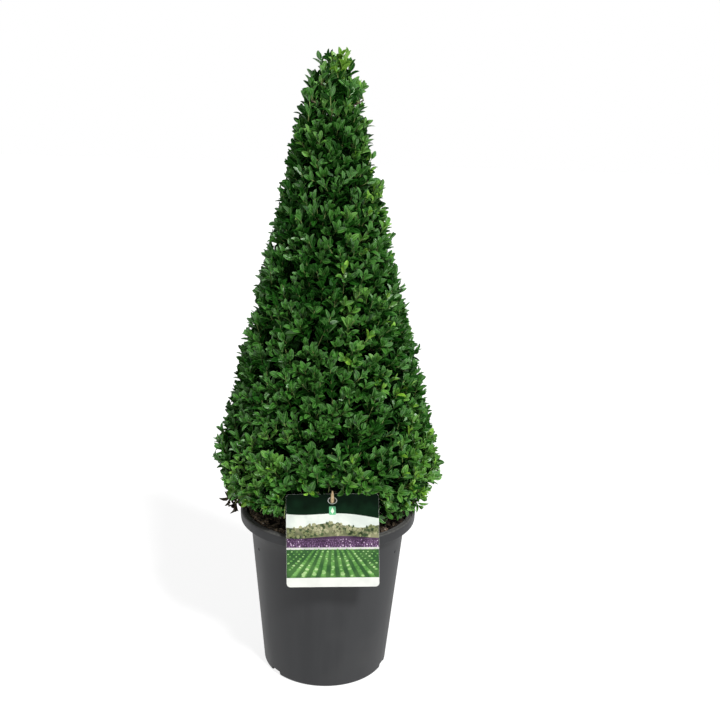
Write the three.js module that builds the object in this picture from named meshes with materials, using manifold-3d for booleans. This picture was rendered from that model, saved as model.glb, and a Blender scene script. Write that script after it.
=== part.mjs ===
// A boxwood clipped to a cone, standing in a round nursery pot, with its plant label on a split cane.
// Millimetres, +Z up, front towards -Y. The origin is the centre of the pot's flat underside.
import * as THREE from "three";
import { mergeVertices } from "three/addons/utils/BufferGeometryUtils.js";
import Module from "manifold-3d";

const wasm = await Module();
wasm.setup();

const GAP = 0.35; // clearance between pieces that touch on the real plant

// Pot: a tapering tub that flares under a rolled rim, whose short skirt hangs clear of the wall.
const POT_HEIGHT = 243;
const POT_BASE_RADIUS = 91.5;
const POT_NECK_RADIUS = 112; // outside of the wall, where it starts to flare
const POT_NECK_Z = 212;
const POT_MOUTH_RADIUS = 119.5; // inner edge of the rim's flat top
const POT_RIM_RADIUS = 128;
const POT_WALL = 2.4;
const POT_CORNER = 4; // rounding between wall and underside
const RIM_SKIRT = 15; // height of the rim's outer skirt
const RIM_DRAFT = 0.5; // how far the skirt leans in towards its lower edge
const POT_SEGMENTS = 36;
const DRAIN_NOTCH = { count: 3, first: 220, width: 26, height: 7, depth: 12 }; // first: degrees from +X
const DRAIN_HOLE = { count: 5, radius: 6, ring: 55 };

// Soil: the root ball, which fills the pot and is mounded a little towards the stem.
const SOIL_EDGE_Z = 232;
const SOIL_TOP_Z = 237; // flat ground that the stem stands on
const SOIL_FLAT_RADIUS = 34;
const SOIL_CRUMBS = 12;

// Crown: the clipped outline, which the leaf tips reach.
const CROWN_LEAN = -8; // how far the tip stands to the right of the foot
const CROWN_RADIUS = 160;
const CROWN_WIDEST_Z = 322;
const CROWN_BOTTOM_Z = 250;
const CROWN_TOP_Z = 877;
const CROWN_TIP_RADIUS = 26;
const SWELL = { z: 350, height: 45, depth: 5 }; // the fuller ring of leaves low on the cone
const TIP = { z: 840, shift: 8, taper: 11 }; // above z the crown leans back upright and rounds off
const UNDERSIDE_RADIUS = 112;
const LEAF_SHELL = 33; // depth of the leafy shell outside the twiggy core
const CORE_BOTTOM_Z = 277;
const CORE_TOP_Z = 822;
const CORE_SEGMENTS = 22;
const CORE_RING_SPACING = 27;
const STEEP_FROM_Z = 760; // shoots above this stand ever more upright
const TIERS = {
  base: { topZ: 392, shoots: 38, seed: 15 },
  lower: { topZ: 502, shoots: 26, seed: 6 },
  middle: { topZ: 610, shoots: 19, seed: 7 },
  upper: { topZ: 722, shoots: 14, seed: 8 },
  tip: { topZ: CORE_TOP_Z, shoots: 10, seed: 9 },
};

// Shoots and leaves. Each leaf stands for a few real ones.
const LEAF = { length: 36, width: 20, thickness: 1.5, widestAt: 0.56, cup: 2.6 };
const LEAF_ANGLE = 46; // degrees between a leaf and its twig
const TWIG_RADIUS = 1.8;
const TWIG_TAPER = 0.85;
const TWIG_SUNK = 9; // length of twig inside the core
const PAIR_SPACING = 8;
const UPPER_PAIR = 2.4; // distance of the upper pair from the twig's end
const END_LEAF_SUNK = 1.5;
const LEAF_OUTER_SHARE = 0.8; // the part of a blade that keeps clear of its neighbours
const SHORTEST_TWIG = 6; // length outside the core
const LEAF_FOOT = 0.3; // how far off the twig's axis the blades of a pair start

// Stem and the main boughs that fork from its foot.
const STEM_FLARE_RADIUS = 17;
const STEM_RADIUS = 10;
const STEM_TIP_RADIUS = 2.5;
const STEM_TIP_Z = 808;
const BOUGHS = {
  front_left: { azimuth: 238, forkZ: 249, reach: 66 },
  front_right: { azimuth: 312, forkZ: 256, reach: 72 },
  back_right: { azimuth: 38, forkZ: 247, reach: 64 },
  back_left: { azimuth: 140, forkZ: 253, reach: 70 },
};
const BOUGH_RADIUS = 6;
const BOUGH_TIP_RADIUS = 3.6;

// Label: a thin card that hangs on a cane's tip and leans on the pot's rim.
const CARD = { width: 124, height: 125, thickness: 0.8, corner: 5, x: 12, tilt: 12, turn: 2, bottomZ: 184 };
const CARD_VIEW = 60; // depth kept free of leaves in front of the print
const CARD_HOLE = { width: 13, height: 9, below: 9 };
const CANE = { width: 5, thickness: 3, lean: 20, sunk: 60, above: 16, point: 12 };

const UP = new THREE.Vector3(0, 0, 1);
const deg = THREE.MathUtils.degToRad;

// Solids ---------------------------------------------------------------------------------------------

function solidOf(geometry) {
  const bare = geometry.index ? geometry.toNonIndexed() : geometry;
  const position = bare.getAttribute("position");
  const merged = mergeVertices(new THREE.BufferGeometry().setAttribute("position", position), 1e-4);
  return new wasm.Manifold(
    new wasm.Mesh({
      numProp: 3,
      vertProperties: merged.attributes.position.array,
      triVerts: new Uint32Array(merged.index.array),
    }),
  );
}

function geometryOf(solid) {
  const { numVert, numProp, vertProperties, triVerts } = solid.getMesh();
  const positions = new Float32Array(numVert * 3);
  for (let i = 0; i < numVert; i++) {
    positions.set(vertProperties.subarray(i * numProp, i * numProp + 3), i * 3);
  }
  const indexed = new THREE.BufferGeometry();
  indexed.setAttribute("position", new THREE.BufferAttribute(positions, 3));
  indexed.setIndex(new THREE.BufferAttribute(triVerts, 1));
  const faceted = indexed.toNonIndexed();
  faceted.computeVertexNormals();
  return faceted;
}

// Turns a closed [radius, height] profile, listed up its outside and down its inside, about +Z.
function revolve(profile, segments) {
  const points = profile.map(([radius, height]) => new THREE.Vector2(radius, height));
  return new THREE.LatheGeometry([...points, points[0]], segments).rotateX(Math.PI / 2);
}

// Moves every vertex of a geometry by a function that changes the vector it is given.
function reshape(geometry, change) {
  const position = geometry.getAttribute("position");
  const vertex = new THREE.Vector3();
  for (let i = 0; i < position.count; i++) {
    change(vertex.fromBufferAttribute(position, i));
    position.setXYZ(i, vertex.x, vertex.y, vertex.z);
  }
  return geometry;
}

function box(width, depth, height, x, y, z) {
  return new THREE.BoxGeometry(width, depth, height).translate(x, y, z);
}

function seededRandom(seed) {
  let state = seed;
  return () => {
    state = (state + 0x6d2b79f5) | 0;
    let mixed = Math.imul(state ^ (state >>> 15), 1 | state);
    mixed = (mixed + Math.imul(mixed ^ (mixed >>> 7), 61 | mixed)) ^ mixed;
    return ((mixed ^ (mixed >>> 14)) >>> 0) / 4294967296;
  };
}

// Pot and soil ---------------------------------------------------------------------------------------

// Outside of the wall at a height, straight up to the neck and flaring above it.
function wallRadius(z) {
  if (z <= POT_NECK_Z) return THREE.MathUtils.lerp(POT_BASE_RADIUS, POT_NECK_RADIUS, z / POT_NECK_Z);
  const flare = (z - POT_NECK_Z) / (POT_HEIGHT - POT_NECK_Z);
  return THREE.MathUtils.lerp(POT_NECK_RADIUS, POT_MOUTH_RADIUS, flare);
}

function makePot() {
  const skirtZ = POT_HEIGHT - RIM_SKIRT;
  const skirtRadius = POT_RIM_RADIUS - RIM_DRAFT;
  const underRim = POT_HEIGHT - POT_WALL;
  const outside = [
    [0, 0],
    [POT_BASE_RADIUS - POT_CORNER, 0],
    [POT_BASE_RADIUS - POT_CORNER * 0.3, POT_CORNER * 0.3],
    [wallRadius(POT_CORNER), POT_CORNER],
    [wallRadius(POT_NECK_Z), POT_NECK_Z],
    [wallRadius(underRim) + 0.8, underRim],
    [POT_RIM_RADIUS - POT_WALL * 1.4, underRim],
    [skirtRadius - POT_WALL, underRim - 3],
    [skirtRadius - POT_WALL, skirtZ],
    [skirtRadius, skirtZ],
    [POT_RIM_RADIUS, POT_HEIGHT - 4],
    [POT_RIM_RADIUS - 1.2, POT_HEIGHT - 1.2],
    [POT_RIM_RADIUS - 4, POT_HEIGHT],
  ];
  const inside = [
    [POT_MOUTH_RADIUS + 0.5, POT_HEIGHT],
    [wallRadius(POT_HEIGHT - 4) - POT_WALL, POT_HEIGHT - 4],
    [wallRadius(POT_NECK_Z) - POT_WALL, POT_NECK_Z],
    [wallRadius(POT_CORNER + POT_WALL) - POT_WALL, POT_CORNER + POT_WALL],
    [POT_BASE_RADIUS - POT_CORNER - 1, POT_WALL],
    [0, POT_WALL],
  ];
  let pot = solidOf(revolve([...outside, ...inside], POT_SEGMENTS));
  for (let i = 0; i < DRAIN_NOTCH.count; i++) {
    const { width, height, depth, first, count } = DRAIN_NOTCH;
    const notch = box(depth * 2, width, height * 2, POT_BASE_RADIUS, 0, 0);
    reshape(notch, (v) => (v.y *= v.z > 0 ? 0.7 : 1)); // sloping ends
    pot = pot.subtract(solidOf(notch.rotateZ(deg(first + (i * 360) / count))));
  }
  for (let i = 0; i < DRAIN_HOLE.count; i++) {
    const angle = (i * 2 * Math.PI) / DRAIN_HOLE.count;
    const hole = new THREE.CylinderGeometry(DRAIN_HOLE.radius, DRAIN_HOLE.radius, POT_WALL * 4, 12)
      .rotateX(Math.PI / 2)
      .translate(DRAIN_HOLE.ring * Math.cos(angle), DRAIN_HOLE.ring * Math.sin(angle), 0);
    pot = pot.subtract(solidOf(hole));
  }
  return pot;
}

function makeSoil() {
  const innerFoot = POT_BASE_RADIUS - DRAIN_NOTCH.depth - 1;
  const footZ = DRAIN_NOTCH.height + 1;
  const wallGap = POT_WALL + GAP;
  const topRadius = wallRadius(SOIL_EDGE_Z) - wallGap - 0.3;
  const bumps = seededRandom(11);
  const profile = [
    [0, POT_WALL + GAP],
    [innerFoot, POT_WALL + GAP],
    [innerFoot, footZ],
    [wallRadius(footZ) - wallGap - 1, footZ],
    [POT_NECK_RADIUS - wallGap - 0.3, POT_NECK_Z],
    [topRadius, SOIL_EDGE_Z],
    [topRadius * 0.88, SOIL_EDGE_Z + 3],
    [topRadius * 0.6, SOIL_EDGE_Z + 4],
    [SOIL_FLAT_RADIUS, SOIL_TOP_Z],
    [0, SOIL_TOP_Z],
  ];
  const soil = solidOf(revolve(profile, POT_SEGMENTS / 2));
  // Crumbs of bark and clods lie on the surface.
  const crumbs = [];
  for (let i = 0; i < SOIL_CRUMBS; i++) {
    const angle = bumps() * 2 * Math.PI;
    const distance = SOIL_FLAT_RADIUS + 16 + bumps() * 48;
    const size = 3.5 + bumps() * 3;
    const crumb = new THREE.IcosahedronGeometry(size, 0)
      .rotateX(bumps() * 3)
      .scale(1.3, 1, 0.8)
      .rotateZ(bumps() * 3)
      .translate(distance * Math.cos(angle), distance * Math.sin(angle), SOIL_EDGE_Z + 3);
    crumbs.push(solidOf(crumb));
  }
  return crumbs.reduce((whole, crumb) => whole.add(crumb), soil);
}

// Stem and boughs --------------------------------------------------------------------------------------

// A tapering round limb: a cylinder bent along a curve. radiusAt gives its radius from 0 at the foot to 1.
function limb(curve, radiusAt, sides, steps) {
  const frames = curve.computeFrenetFrames(steps);
  const cylinder = new THREE.CylinderGeometry(1, 1, 1, sides, steps);
  return reshape(cylinder, (v) => {
    const t = THREE.MathUtils.clamp(v.y + 0.5, 0, 1);
    const ring = Math.round(t * steps);
    const around = Math.atan2(v.z, v.x);
    const radius = Math.hypot(v.x, v.z) * radiusAt(t);
    v.copy(curve.getPointAt(t))
      .addScaledVector(frames.normals[ring], radius * Math.cos(around))
      .addScaledVector(frames.binormals[ring], -radius * Math.sin(around));
  });
}

// How far into the tip of the crown a height lies, from 0 below it to 1 at the top.
function tipShare(z) {
  return THREE.MathUtils.clamp((z - TIP.z) / (CROWN_TOP_Z - TIP.z), 0, 1);
}

// The middle of the crown at a height, to the right of the pot's centre.
function axisX(z) {
  return (CROWN_LEAN * (z - SOIL_TOP_Z)) / (CROWN_TOP_Z - SOIL_TOP_Z) + TIP.shift * tipShare(z);
}

const stemCurve = new THREE.CatmullRomCurve3([
  new THREE.Vector3(0, 0, SOIL_TOP_Z - 6),
  new THREE.Vector3(0, 0, SOIL_TOP_Z + 12),
  new THREE.Vector3(axisX(350) + 4, 3, 350),
  new THREE.Vector3(axisX(490) - 3, -2, 490),
  new THREE.Vector3(axisX(650) + 3, 2, 650),
  new THREE.Vector3(axisX(STEM_TIP_Z) + 1, 0, STEM_TIP_Z),
]);

function stemRadius(t) {
  const flare = (STEM_FLARE_RADIUS - STEM_RADIUS) * Math.exp(-t * 28);
  return THREE.MathUtils.lerp(STEM_RADIUS, STEM_TIP_RADIUS, t) + flare;
}

function makeStem(grown) {
  const whole = solidOf(limb(stemCurve, (t) => stemRadius(t) + grown, 10, 18));
  const ground = box(200, 200, 40, 0, 0, SOIL_TOP_Z + GAP - grown - 20);
  return whole.subtract(solidOf(ground));
}

function makeBough({ azimuth, forkZ, reach }, stemHole) {
  const out = new THREE.Vector3(Math.cos(deg(azimuth)), Math.sin(deg(azimuth)), 0);
  const foot = new THREE.Vector3(axisX(forkZ), 0, forkZ);
  const tip = foot.clone().addScaledVector(out, reach).setZ(CORE_BOTTOM_Z + 10);
  const bend = foot.clone().addScaledVector(out, reach * 0.55).setZ(forkZ + 10);
  const curve = new THREE.QuadraticBezierCurve3(foot, bend, tip);
  const radiusAt = (t) => THREE.MathUtils.lerp(BOUGH_RADIUS, BOUGH_TIP_RADIUS, t);
  const crown = box(400, 400, 60, 0, 0, CORE_BOTTOM_Z - GAP + 30);
  return solidOf(limb(curve, radiusAt, 8, 7)).subtract(stemHole).subtract(solidOf(crown));
}

// Foliage ----------------------------------------------------------------------------------------------

// Radius of the clipped outline: an undercut skirt below the widest ring and a straight cone above it,
// with a swelling low on the cone.
function crownRadius(z) {
  const swell = SWELL.depth * Math.max(0, 1 - Math.abs(z - SWELL.z) / SWELL.height);
  if (z >= CROWN_WIDEST_Z) {
    const share = (z - CROWN_WIDEST_Z) / (CROWN_TOP_Z - CROWN_WIDEST_Z);
    const cone = THREE.MathUtils.lerp(CROWN_RADIUS, CROWN_TIP_RADIUS, share);
    return cone + swell - TIP.taper * tipShare(z) ** 2;
  }
  const drop = Math.min(1, (CROWN_WIDEST_Z - z) / (CROWN_WIDEST_Z - CROWN_BOTTOM_Z));
  return UNDERSIDE_RADIUS + (CROWN_RADIUS - UNDERSIDE_RADIUS) * Math.sqrt(1 - drop * drop) + swell;
}

// The shears leave shallow hollows and swellings, the same for the core and for the outline.
function lumps(angle, z) {
  return 2.2 * Math.sin(3 * angle + z / 34) + 1.8 * Math.sin(5 * angle - z / 21 + 1.3);
}

function coreRadius(angle, z) {
  const lift = Math.max(0, 1 - (z - CORE_BOTTOM_Z) / 75); // the underside is cut back further
  const uneven = 2.4 * Math.sin(9 * angle + z / 6) * Math.sin(4 * angle - z / 11);
  return Math.max(7, crownRadius(z) - LEAF_SHELL - 34 * lift * lift + lumps(angle, z) + uneven);
}

function makeCore(bottomZ, topZ) {
  const rings = Math.max(3, Math.round((topZ - bottomZ) / CORE_RING_SPACING));
  const heights = Array.from({ length: rings + 1 }, (_, i) => bottomZ + ((topZ - bottomZ) * i) / rings);
  const ring = revolve([[0, bottomZ], ...heights.map((z) => [1, z]), [0, topZ]], CORE_SEGMENTS);
  return reshape(ring, (v) => {
    const angle = Math.atan2(v.y, v.x);
    const scale = Math.hypot(v.x, v.y) * coreRadius(angle, v.z);
    v.set(axisX(v.z) + scale * Math.cos(angle), scale * Math.sin(angle), v.z);
  });
}

// A leaf blade along +Y from the origin, its upper side towards +Z: eight faces, widest past the middle.
function leafBlade(clearance) {
  return reshape(new THREE.OctahedronGeometry(1), (v) => {
    const alongBlade = v.y === 0 ? LEAF.widestAt : (v.y + 1) / 2;
    const sideLift = Math.abs(v.x) * LEAF.cup;
    v.x *= LEAF.width / 2 + clearance;
    v.y = alongBlade * LEAF.length + (alongBlade > 0.9 ? clearance : 0);
    v.z = v.z * (LEAF.thickness / 2 + clearance) + sideLift;
  });
}

// The matrix that carries +Y to a direction and turns +Z as near as it can to an upper side.
function placedAlong(origin, direction, upper) {
  const side = new THREE.Vector3().crossVectors(direction, upper).normalize();
  const face = new THREE.Vector3().crossVectors(side, direction);
  return new THREE.Matrix4().makeBasis(side, direction, face).setPosition(origin);
}

function distanceToOutline(start, direction) {
  const point = start.clone();
  let travelled = 0;
  while (point.z < CROWN_TOP_Z && travelled < 90) {
    const across = point.x - axisX(point.z);
    const limit = crownRadius(point.z) + lumps(Math.atan2(point.y, across), point.z) * 0.6;
    if (Math.hypot(across, point.y) >= limit || point.z < CROWN_BOTTOM_Z - 4) break;
    point.addScaledVector(direction, 1);
    travelled += 1;
  }
  return travelled;
}

// Where each shoot of a tier leaves the core and which way it points, spread evenly by the golden angle.
function shootRoots(bottomZ, topZ, count, random) {
  const golden = Math.PI * (3 - Math.sqrt(5));
  const lowest = bottomZ === CORE_BOTTOM_Z ? bottomZ + 3 : bottomZ + 8;
  return Array.from({ length: count }, (_, i) => {
    const share = (i + 0.5) / count;
    // Rings lower on the cone are longer, so more shoots stand there.
    const slope = 1 - crownRadius(topZ) / crownRadius(Math.max(bottomZ, CROWN_WIDEST_Z));
    const rise = (1 - Math.sqrt(1 - share * (1 - (1 - slope) ** 2))) / slope;
    const z = THREE.MathUtils.lerp(lowest, topZ - 4, rise);
    const angle = i * golden + random() * 0.35;
    const lean = THREE.MathUtils.clamp((z - CORE_BOTTOM_Z - 6) / 44, 0, 1);
    const elevation = deg(THREE.MathUtils.lerp(-34, 46, lean) + 12 * (random() - 0.5));
    const steeper = Math.max(0, (z - STEEP_FROM_Z) / (CORE_TOP_Z - STEEP_FROM_Z)) * deg(34);
    const climb = elevation + steeper;
    const direction = new THREE.Vector3(
      Math.cos(angle) * Math.cos(climb),
      Math.sin(angle) * Math.cos(climb),
      Math.sin(climb),
    );
    const radius = coreRadius(angle, z);
    const root = new THREE.Vector3(axisX(z) + radius * Math.cos(angle), radius * Math.sin(angle), z);
    return { root, direction };
  });
}

// One mass of foliage: a core with leafy shoots fused to it, clear of everything already standing.
function makeFoliage(bottomZ, { topZ, shoots, seed }, stemHole, cardRoom, standing) {
  const random = seededRandom(seed);
  const isClear = (solid, others) => others.every((other) => solid.intersect(other).isEmpty());
  let mass = solidOf(makeCore(bottomZ, topZ)).subtract(cardRoom);
  const addLeaf = (origin, direction, upper, foot) => {
    const place = placedAlong(origin, direction, upper);
    const blade = solidOf(leafBlade(0).applyMatrix4(place));
    const room = solidOf(leafBlade(GAP).applyMatrix4(place));
    const outer = solidOf(
      leafBlade(0)
        .scale(LEAF_OUTER_SHARE, LEAF_OUTER_SHARE, 1)
        .translate(0, LEAF.length * (1 - LEAF_OUTER_SHARE) * 0.95, 0)
        .applyMatrix4(place),
    );
    if (!isClear(room, standing) || !isClear(outer, [mass, ...foot])) return;
    foot.push(outer);
    mass = mass.add(blade);
  };
  const roots = shootRoots(bottomZ, topZ, shoots, random);
  if (topZ === CORE_TOP_Z) {
    const crest = new THREE.Vector3(axisX(topZ), 0, topZ);
    roots.push({ root: crest, direction: new THREE.Vector3(0.1, 0.05, 1).normalize() });
  }
  for (const { root, direction } of roots) {
    const reach = distanceToOutline(root, direction);
    const twigLength = TWIG_SUNK + Math.max(SHORTEST_TWIG, reach - LEAF.length + 2);
    const foot = root.clone().addScaledVector(direction, -TWIG_SUNK);
    const across = new THREE.Vector3().crossVectors(direction, UP).normalize();
    const turned = across.clone().applyAxisAngle(direction, random() * Math.PI);
    const twig = new THREE.CylinderGeometry(TWIG_RADIUS * TWIG_TAPER, TWIG_RADIUS, twigLength, 4)
      .rotateY(Math.PI / 4)
      .translate(0, twigLength / 2, 0)
      .applyMatrix4(placedAlong(foot, direction, turned));
    const twigSolid = solidOf(twig);
    if (!isClear(twigSolid, standing)) continue;
    mass = mass.add(twigSolid);
    const leaves = [];
    for (let pair = 0; pair < 2; pair++) {
      const fromEnd = UPPER_PAIR + PAIR_SPACING * (1 - pair);
      const node = foot.clone().addScaledVector(direction, twigLength - fromEnd);
      for (const side of [0, Math.PI]) {
        const around = pair * (Math.PI / 2) + side;
        const outward = turned.clone().applyAxisAngle(direction, around);
        const spread = deg(LEAF_ANGLE + 10 * (random() - 0.5));
        const along = direction.clone().multiplyScalar(Math.cos(spread));
        along.addScaledVector(outward, Math.sin(spread)).normalize();
        addLeaf(node.clone().addScaledVector(outward, LEAF_FOOT), along, direction, leaves);
      }
    }
    const end = foot.clone().addScaledVector(direction, twigLength - END_LEAF_SUNK);
    addLeaf(end, direction, turned.clone().applyAxisAngle(direction, Math.PI / 4), leaves);
  }
  return mass.subtract(stemHole);
}

// Label ------------------------------------------------------------------------------------------------

// The card's own frame: X to the right, Y up the card, Z out of its printed face.
function cardPlace() {
  const tilt = deg(CARD.tilt);
  const rimEdge = new THREE.Vector3(0, -POT_RIM_RADIUS, POT_HEIGHT - 4);
  const front = new THREE.Vector3(0, -Math.cos(tilt), Math.sin(tilt));
  const up = new THREE.Vector3(0, Math.sin(tilt), Math.cos(tilt));
  const right = new THREE.Vector3().crossVectors(up, front);
  const onRim = rimEdge.clone().addScaledVector(front, GAP + 0.2);
  const foot = onRim.addScaledVector(up, (CARD.bottomZ - onRim.z) / up.z);
  foot.x = CARD.x;
  const turn = new THREE.Matrix4().makeRotationZ(deg(CARD.turn));
  return new THREE.Matrix4().makeBasis(right, up, front).setPosition(foot).multiply(turn);
}

function makeCard(place) {
  const { width, height, corner, thickness } = CARD;
  const [left, right] = [-width / 2, width / 2];
  const outline = new THREE.Shape();
  outline.moveTo(left + corner, 0);
  outline.absarc(right - corner, corner, corner, -Math.PI / 2, 0);
  outline.absarc(right - corner, height - corner, corner, 0, Math.PI / 2);
  outline.absarc(left + corner, height - corner, corner, Math.PI / 2, Math.PI);
  outline.absarc(left + corner, corner, corner, Math.PI, Math.PI * 1.5);
  const hole = new THREE.Path();
  hole.absellipse(0, height - CARD_HOLE.below, CARD_HOLE.width / 2, CARD_HOLE.height / 2, 0, Math.PI * 2);
  outline.holes.push(hole);
  const options = { depth: thickness, bevelEnabled: false, curveSegments: 4 };
  return solidOf(new THREE.ExtrudeGeometry(outline, options).applyMatrix4(place));
}

// A split cane, half round in section and cut to a point, from inside the soil through the card's hole.
function makeCane(place, grown) {
  const lean = deg(CANE.lean);
  const direction = new THREE.Vector3(0, -Math.sin(lean), Math.cos(lean));
  const middle = new THREE.Vector3(0, CARD.height - CARD_HOLE.below, CARD.thickness / 2);
  const hole = middle.applyMatrix4(place);
  const sunkZ = SOIL_EDGE_Z - CANE.sunk;
  const below = (hole.z - sunkZ) / direction.z;
  const length = below + CANE.above;
  const section = new THREE.Shape();
  section.absellipse(0, -CANE.thickness / 2, CANE.width / 2 + grown, CANE.thickness + grown, 0, Math.PI);
  const cane = new THREE.ExtrudeGeometry(section, {
    depth: length + grown,
    bevelEnabled: false,
    curveSegments: 6,
    steps: 1,
  });
  const cut = deg(16);
  const slice = box(40, 40, 40, 0, 0, 0)
    .translate(0, 20, 20)
    .rotateX(cut)
    .translate(0, -CANE.thickness / 2 + 0.6, length - CANE.point * 0.75);
  const front = new THREE.Vector3(0, -Math.cos(lean), -Math.sin(lean));
  const right = new THREE.Vector3().crossVectors(front, direction);
  const stand = new THREE.Matrix4()
    .makeBasis(right, front, direction)
    .setPosition(hole.clone().addScaledVector(direction, -below));
  const whole = solidOf(cane.applyMatrix4(stand));
  return grown > 0 ? whole : whole.subtract(solidOf(slice.applyMatrix4(stand)));
}

// Assembly ---------------------------------------------------------------------------------------------

const FINISH = {
  pot: { color: 0x3f4144, roughness: 0.55 },
  soil: { color: 0x2b1d14, roughness: 1 },
  bark: { color: 0x6b5a41, roughness: 0.9 },
  foliage: { color: 0x2f6b22, roughness: 0.45 },
  card: { color: 0xe9ebe4, roughness: 0.35 },
  cane: { color: 0xd8bb84, roughness: 0.7 },
};

const group = new THREE.Group();

function addPiece(name, solid, finish) {
  const material = new THREE.MeshStandardMaterial({ ...FINISH[finish], metalness: 0 });
  const mesh = new THREE.Mesh(geometryOf(solid), material);
  mesh.name = name;
  group.add(mesh);
}

const place = cardPlace();
const card = makeCard(place);
const cane = makeCane(place, 0);
const pot = makePot();
const stem = makeStem(0);
const stemHole = makeStem(GAP);
const soil = makeSoil().subtract(makeCane(place, GAP));
const boughs = Object.entries(BOUGHS).map(([name, bough]) => [name, makeBough(bough, stemHole)]);

// Foliage keeps out of the card, of the space in front of its print, and of the cane behind it.
const cardRoom = solidOf(
  box(CARD.width + 2 * GAP, CARD.height + 2 * GAP, CARD_VIEW, 0, CARD.height / 2, CARD_VIEW / 2 - GAP)
    .applyMatrix4(place),
);
const standing = [pot, cardRoom, makeCane(place, GAP), ...boughs.map(([, bough]) => bough)];

addPiece("pot", pot, "pot");
addPiece("soil", soil, "soil");
addPiece("stem", stem, "bark");
for (const [name, bough] of boughs) addPiece("bough_" + name, bough, "bark");

let tierBottom = CORE_BOTTOM_Z;
for (const [name, tier] of Object.entries(TIERS)) {
  const mass = makeFoliage(tierBottom, tier, stemHole, cardRoom, standing);
  standing.push(mass);
  addPiece("foliage_" + name, mass, "foliage");
  tierBottom = tier.topZ + GAP;
}

addPiece("label_card", card, "card");
addPiece("label_cane", cane, "cane");

export default group;
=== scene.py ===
"""The looks of a boxwood clipped to a cone, in a round nursery pot with a plant label on a split cane.

The crown's rules are those of the part's source, carried on to finer twigs and to leaves of true size.
Metres, +Z up, front towards -Y. The origin is the centre of the pot's flat underside.
"""

import math

import bpy
import numpy as np
from mathutils import Matrix, Vector


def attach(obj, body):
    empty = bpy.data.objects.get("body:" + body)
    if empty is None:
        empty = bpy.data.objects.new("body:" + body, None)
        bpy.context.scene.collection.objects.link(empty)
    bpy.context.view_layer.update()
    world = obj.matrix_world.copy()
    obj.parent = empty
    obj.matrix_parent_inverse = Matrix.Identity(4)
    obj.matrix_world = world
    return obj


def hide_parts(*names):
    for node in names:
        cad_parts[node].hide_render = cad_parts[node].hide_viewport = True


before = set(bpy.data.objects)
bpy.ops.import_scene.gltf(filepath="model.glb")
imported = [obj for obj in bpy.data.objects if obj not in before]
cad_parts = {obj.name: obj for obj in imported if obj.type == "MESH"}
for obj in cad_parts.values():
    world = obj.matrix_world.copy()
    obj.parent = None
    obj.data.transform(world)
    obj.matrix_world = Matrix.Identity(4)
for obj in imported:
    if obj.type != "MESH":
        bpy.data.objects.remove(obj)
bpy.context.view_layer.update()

MM = 0.001
GOLDEN = math.pi * (3 - math.sqrt(5))
UP = np.array([0, 0, 1.0])

# Pot, as in the source.
POT_HEIGHT, POT_BASE_RADIUS, POT_WALL, POT_CORNER = 243 * MM, 91.5 * MM, 2.4 * MM, 4 * MM
POT_NECK_RADIUS, POT_NECK_Z = 112 * MM, 212 * MM
POT_MOUTH_RADIUS, POT_RIM_RADIUS = 119.5 * MM, 128 * MM
RIM_SKIRT, RIM_DRAFT = 15 * MM, 0.5 * MM
NOTCHES, FIRST_NOTCH, NOTCH_WIDTH, NOTCH_HEIGHT, NOTCH_DEPTH = 3, 220, 26 * MM, 7 * MM, 12 * MM
DRAIN_HOLES, DRAIN_RADIUS, DRAIN_RING = 5, 6 * MM, 55 * MM
SOIL_EDGE_Z, SOIL_TOP_Z, SOIL_FLAT_RADIUS = 232 * MM, 237 * MM, 34 * MM

# Crown, as in the source.
CROWN_LEAN, CROWN_RADIUS, CROWN_TIP_RADIUS, UNDERSIDE_RADIUS = -8 * MM, 160 * MM, 26 * MM, 112 * MM
CROWN_WIDEST_Z, CROWN_BOTTOM_Z, CROWN_TOP_Z = 322 * MM, 250 * MM, 877 * MM
SWELL_Z, SWELL_HEIGHT, SWELL_DEPTH = 350 * MM, 45 * MM, 5 * MM
TIP_Z, TIP_SHIFT, TIP_TAPER = 840 * MM, 8 * MM, 11 * MM
CORE_BOTTOM_Z, CORE_TOP_Z, LEAF_SHELL = 277 * MM, 822 * MM, 33 * MM
STEEP_FROM_Z = 760 * MM
TIER_TOPS = {"base": 392 * MM, "lower": 502 * MM, "middle": 610 * MM, "upper": 722 * MM, "tip": 2.0}

# Stem and boughs, as in the source.
STEM_FLARE_RADIUS, STEM_RADIUS, STEM_TIP_RADIUS, STEM_TIP_Z = 17 * MM, 10 * MM, 2.5 * MM, 808 * MM
BOUGHS = {
    "front_left": (238, 249 * MM, 66 * MM),
    "front_right": (312, 256 * MM, 72 * MM),
    "back_right": (38, 247 * MM, 64 * MM),
    "back_left": (140, 253 * MM, 70 * MM),
}
BOUGH_RADIUS, BOUGH_TIP_RADIUS = 6 * MM, 3.6 * MM

# Label, as in the source.
CARD_WIDTH, CARD_HEIGHT, CARD_THICKNESS, CARD_CORNER = 124 * MM, 125 * MM, 0.8 * MM, 5 * MM
CARD_X, CARD_TILT, CARD_TURN, CARD_BOTTOM_Z = 12 * MM, math.radians(12), math.radians(2), 184 * MM
HOLE_WIDTH, HOLE_HEIGHT, HOLE_BELOW = 13 * MM, 9 * MM, 9 * MM
CANE_WIDTH, CANE_THICKNESS, CANE_LEAN = 5 * MM, 3 * MM, math.radians(20)
CANE_SUNK, CANE_ABOVE, CANE_POINT = 60 * MM, 16 * MM, 12 * MM
GAP = 0.35 * MM

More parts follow.
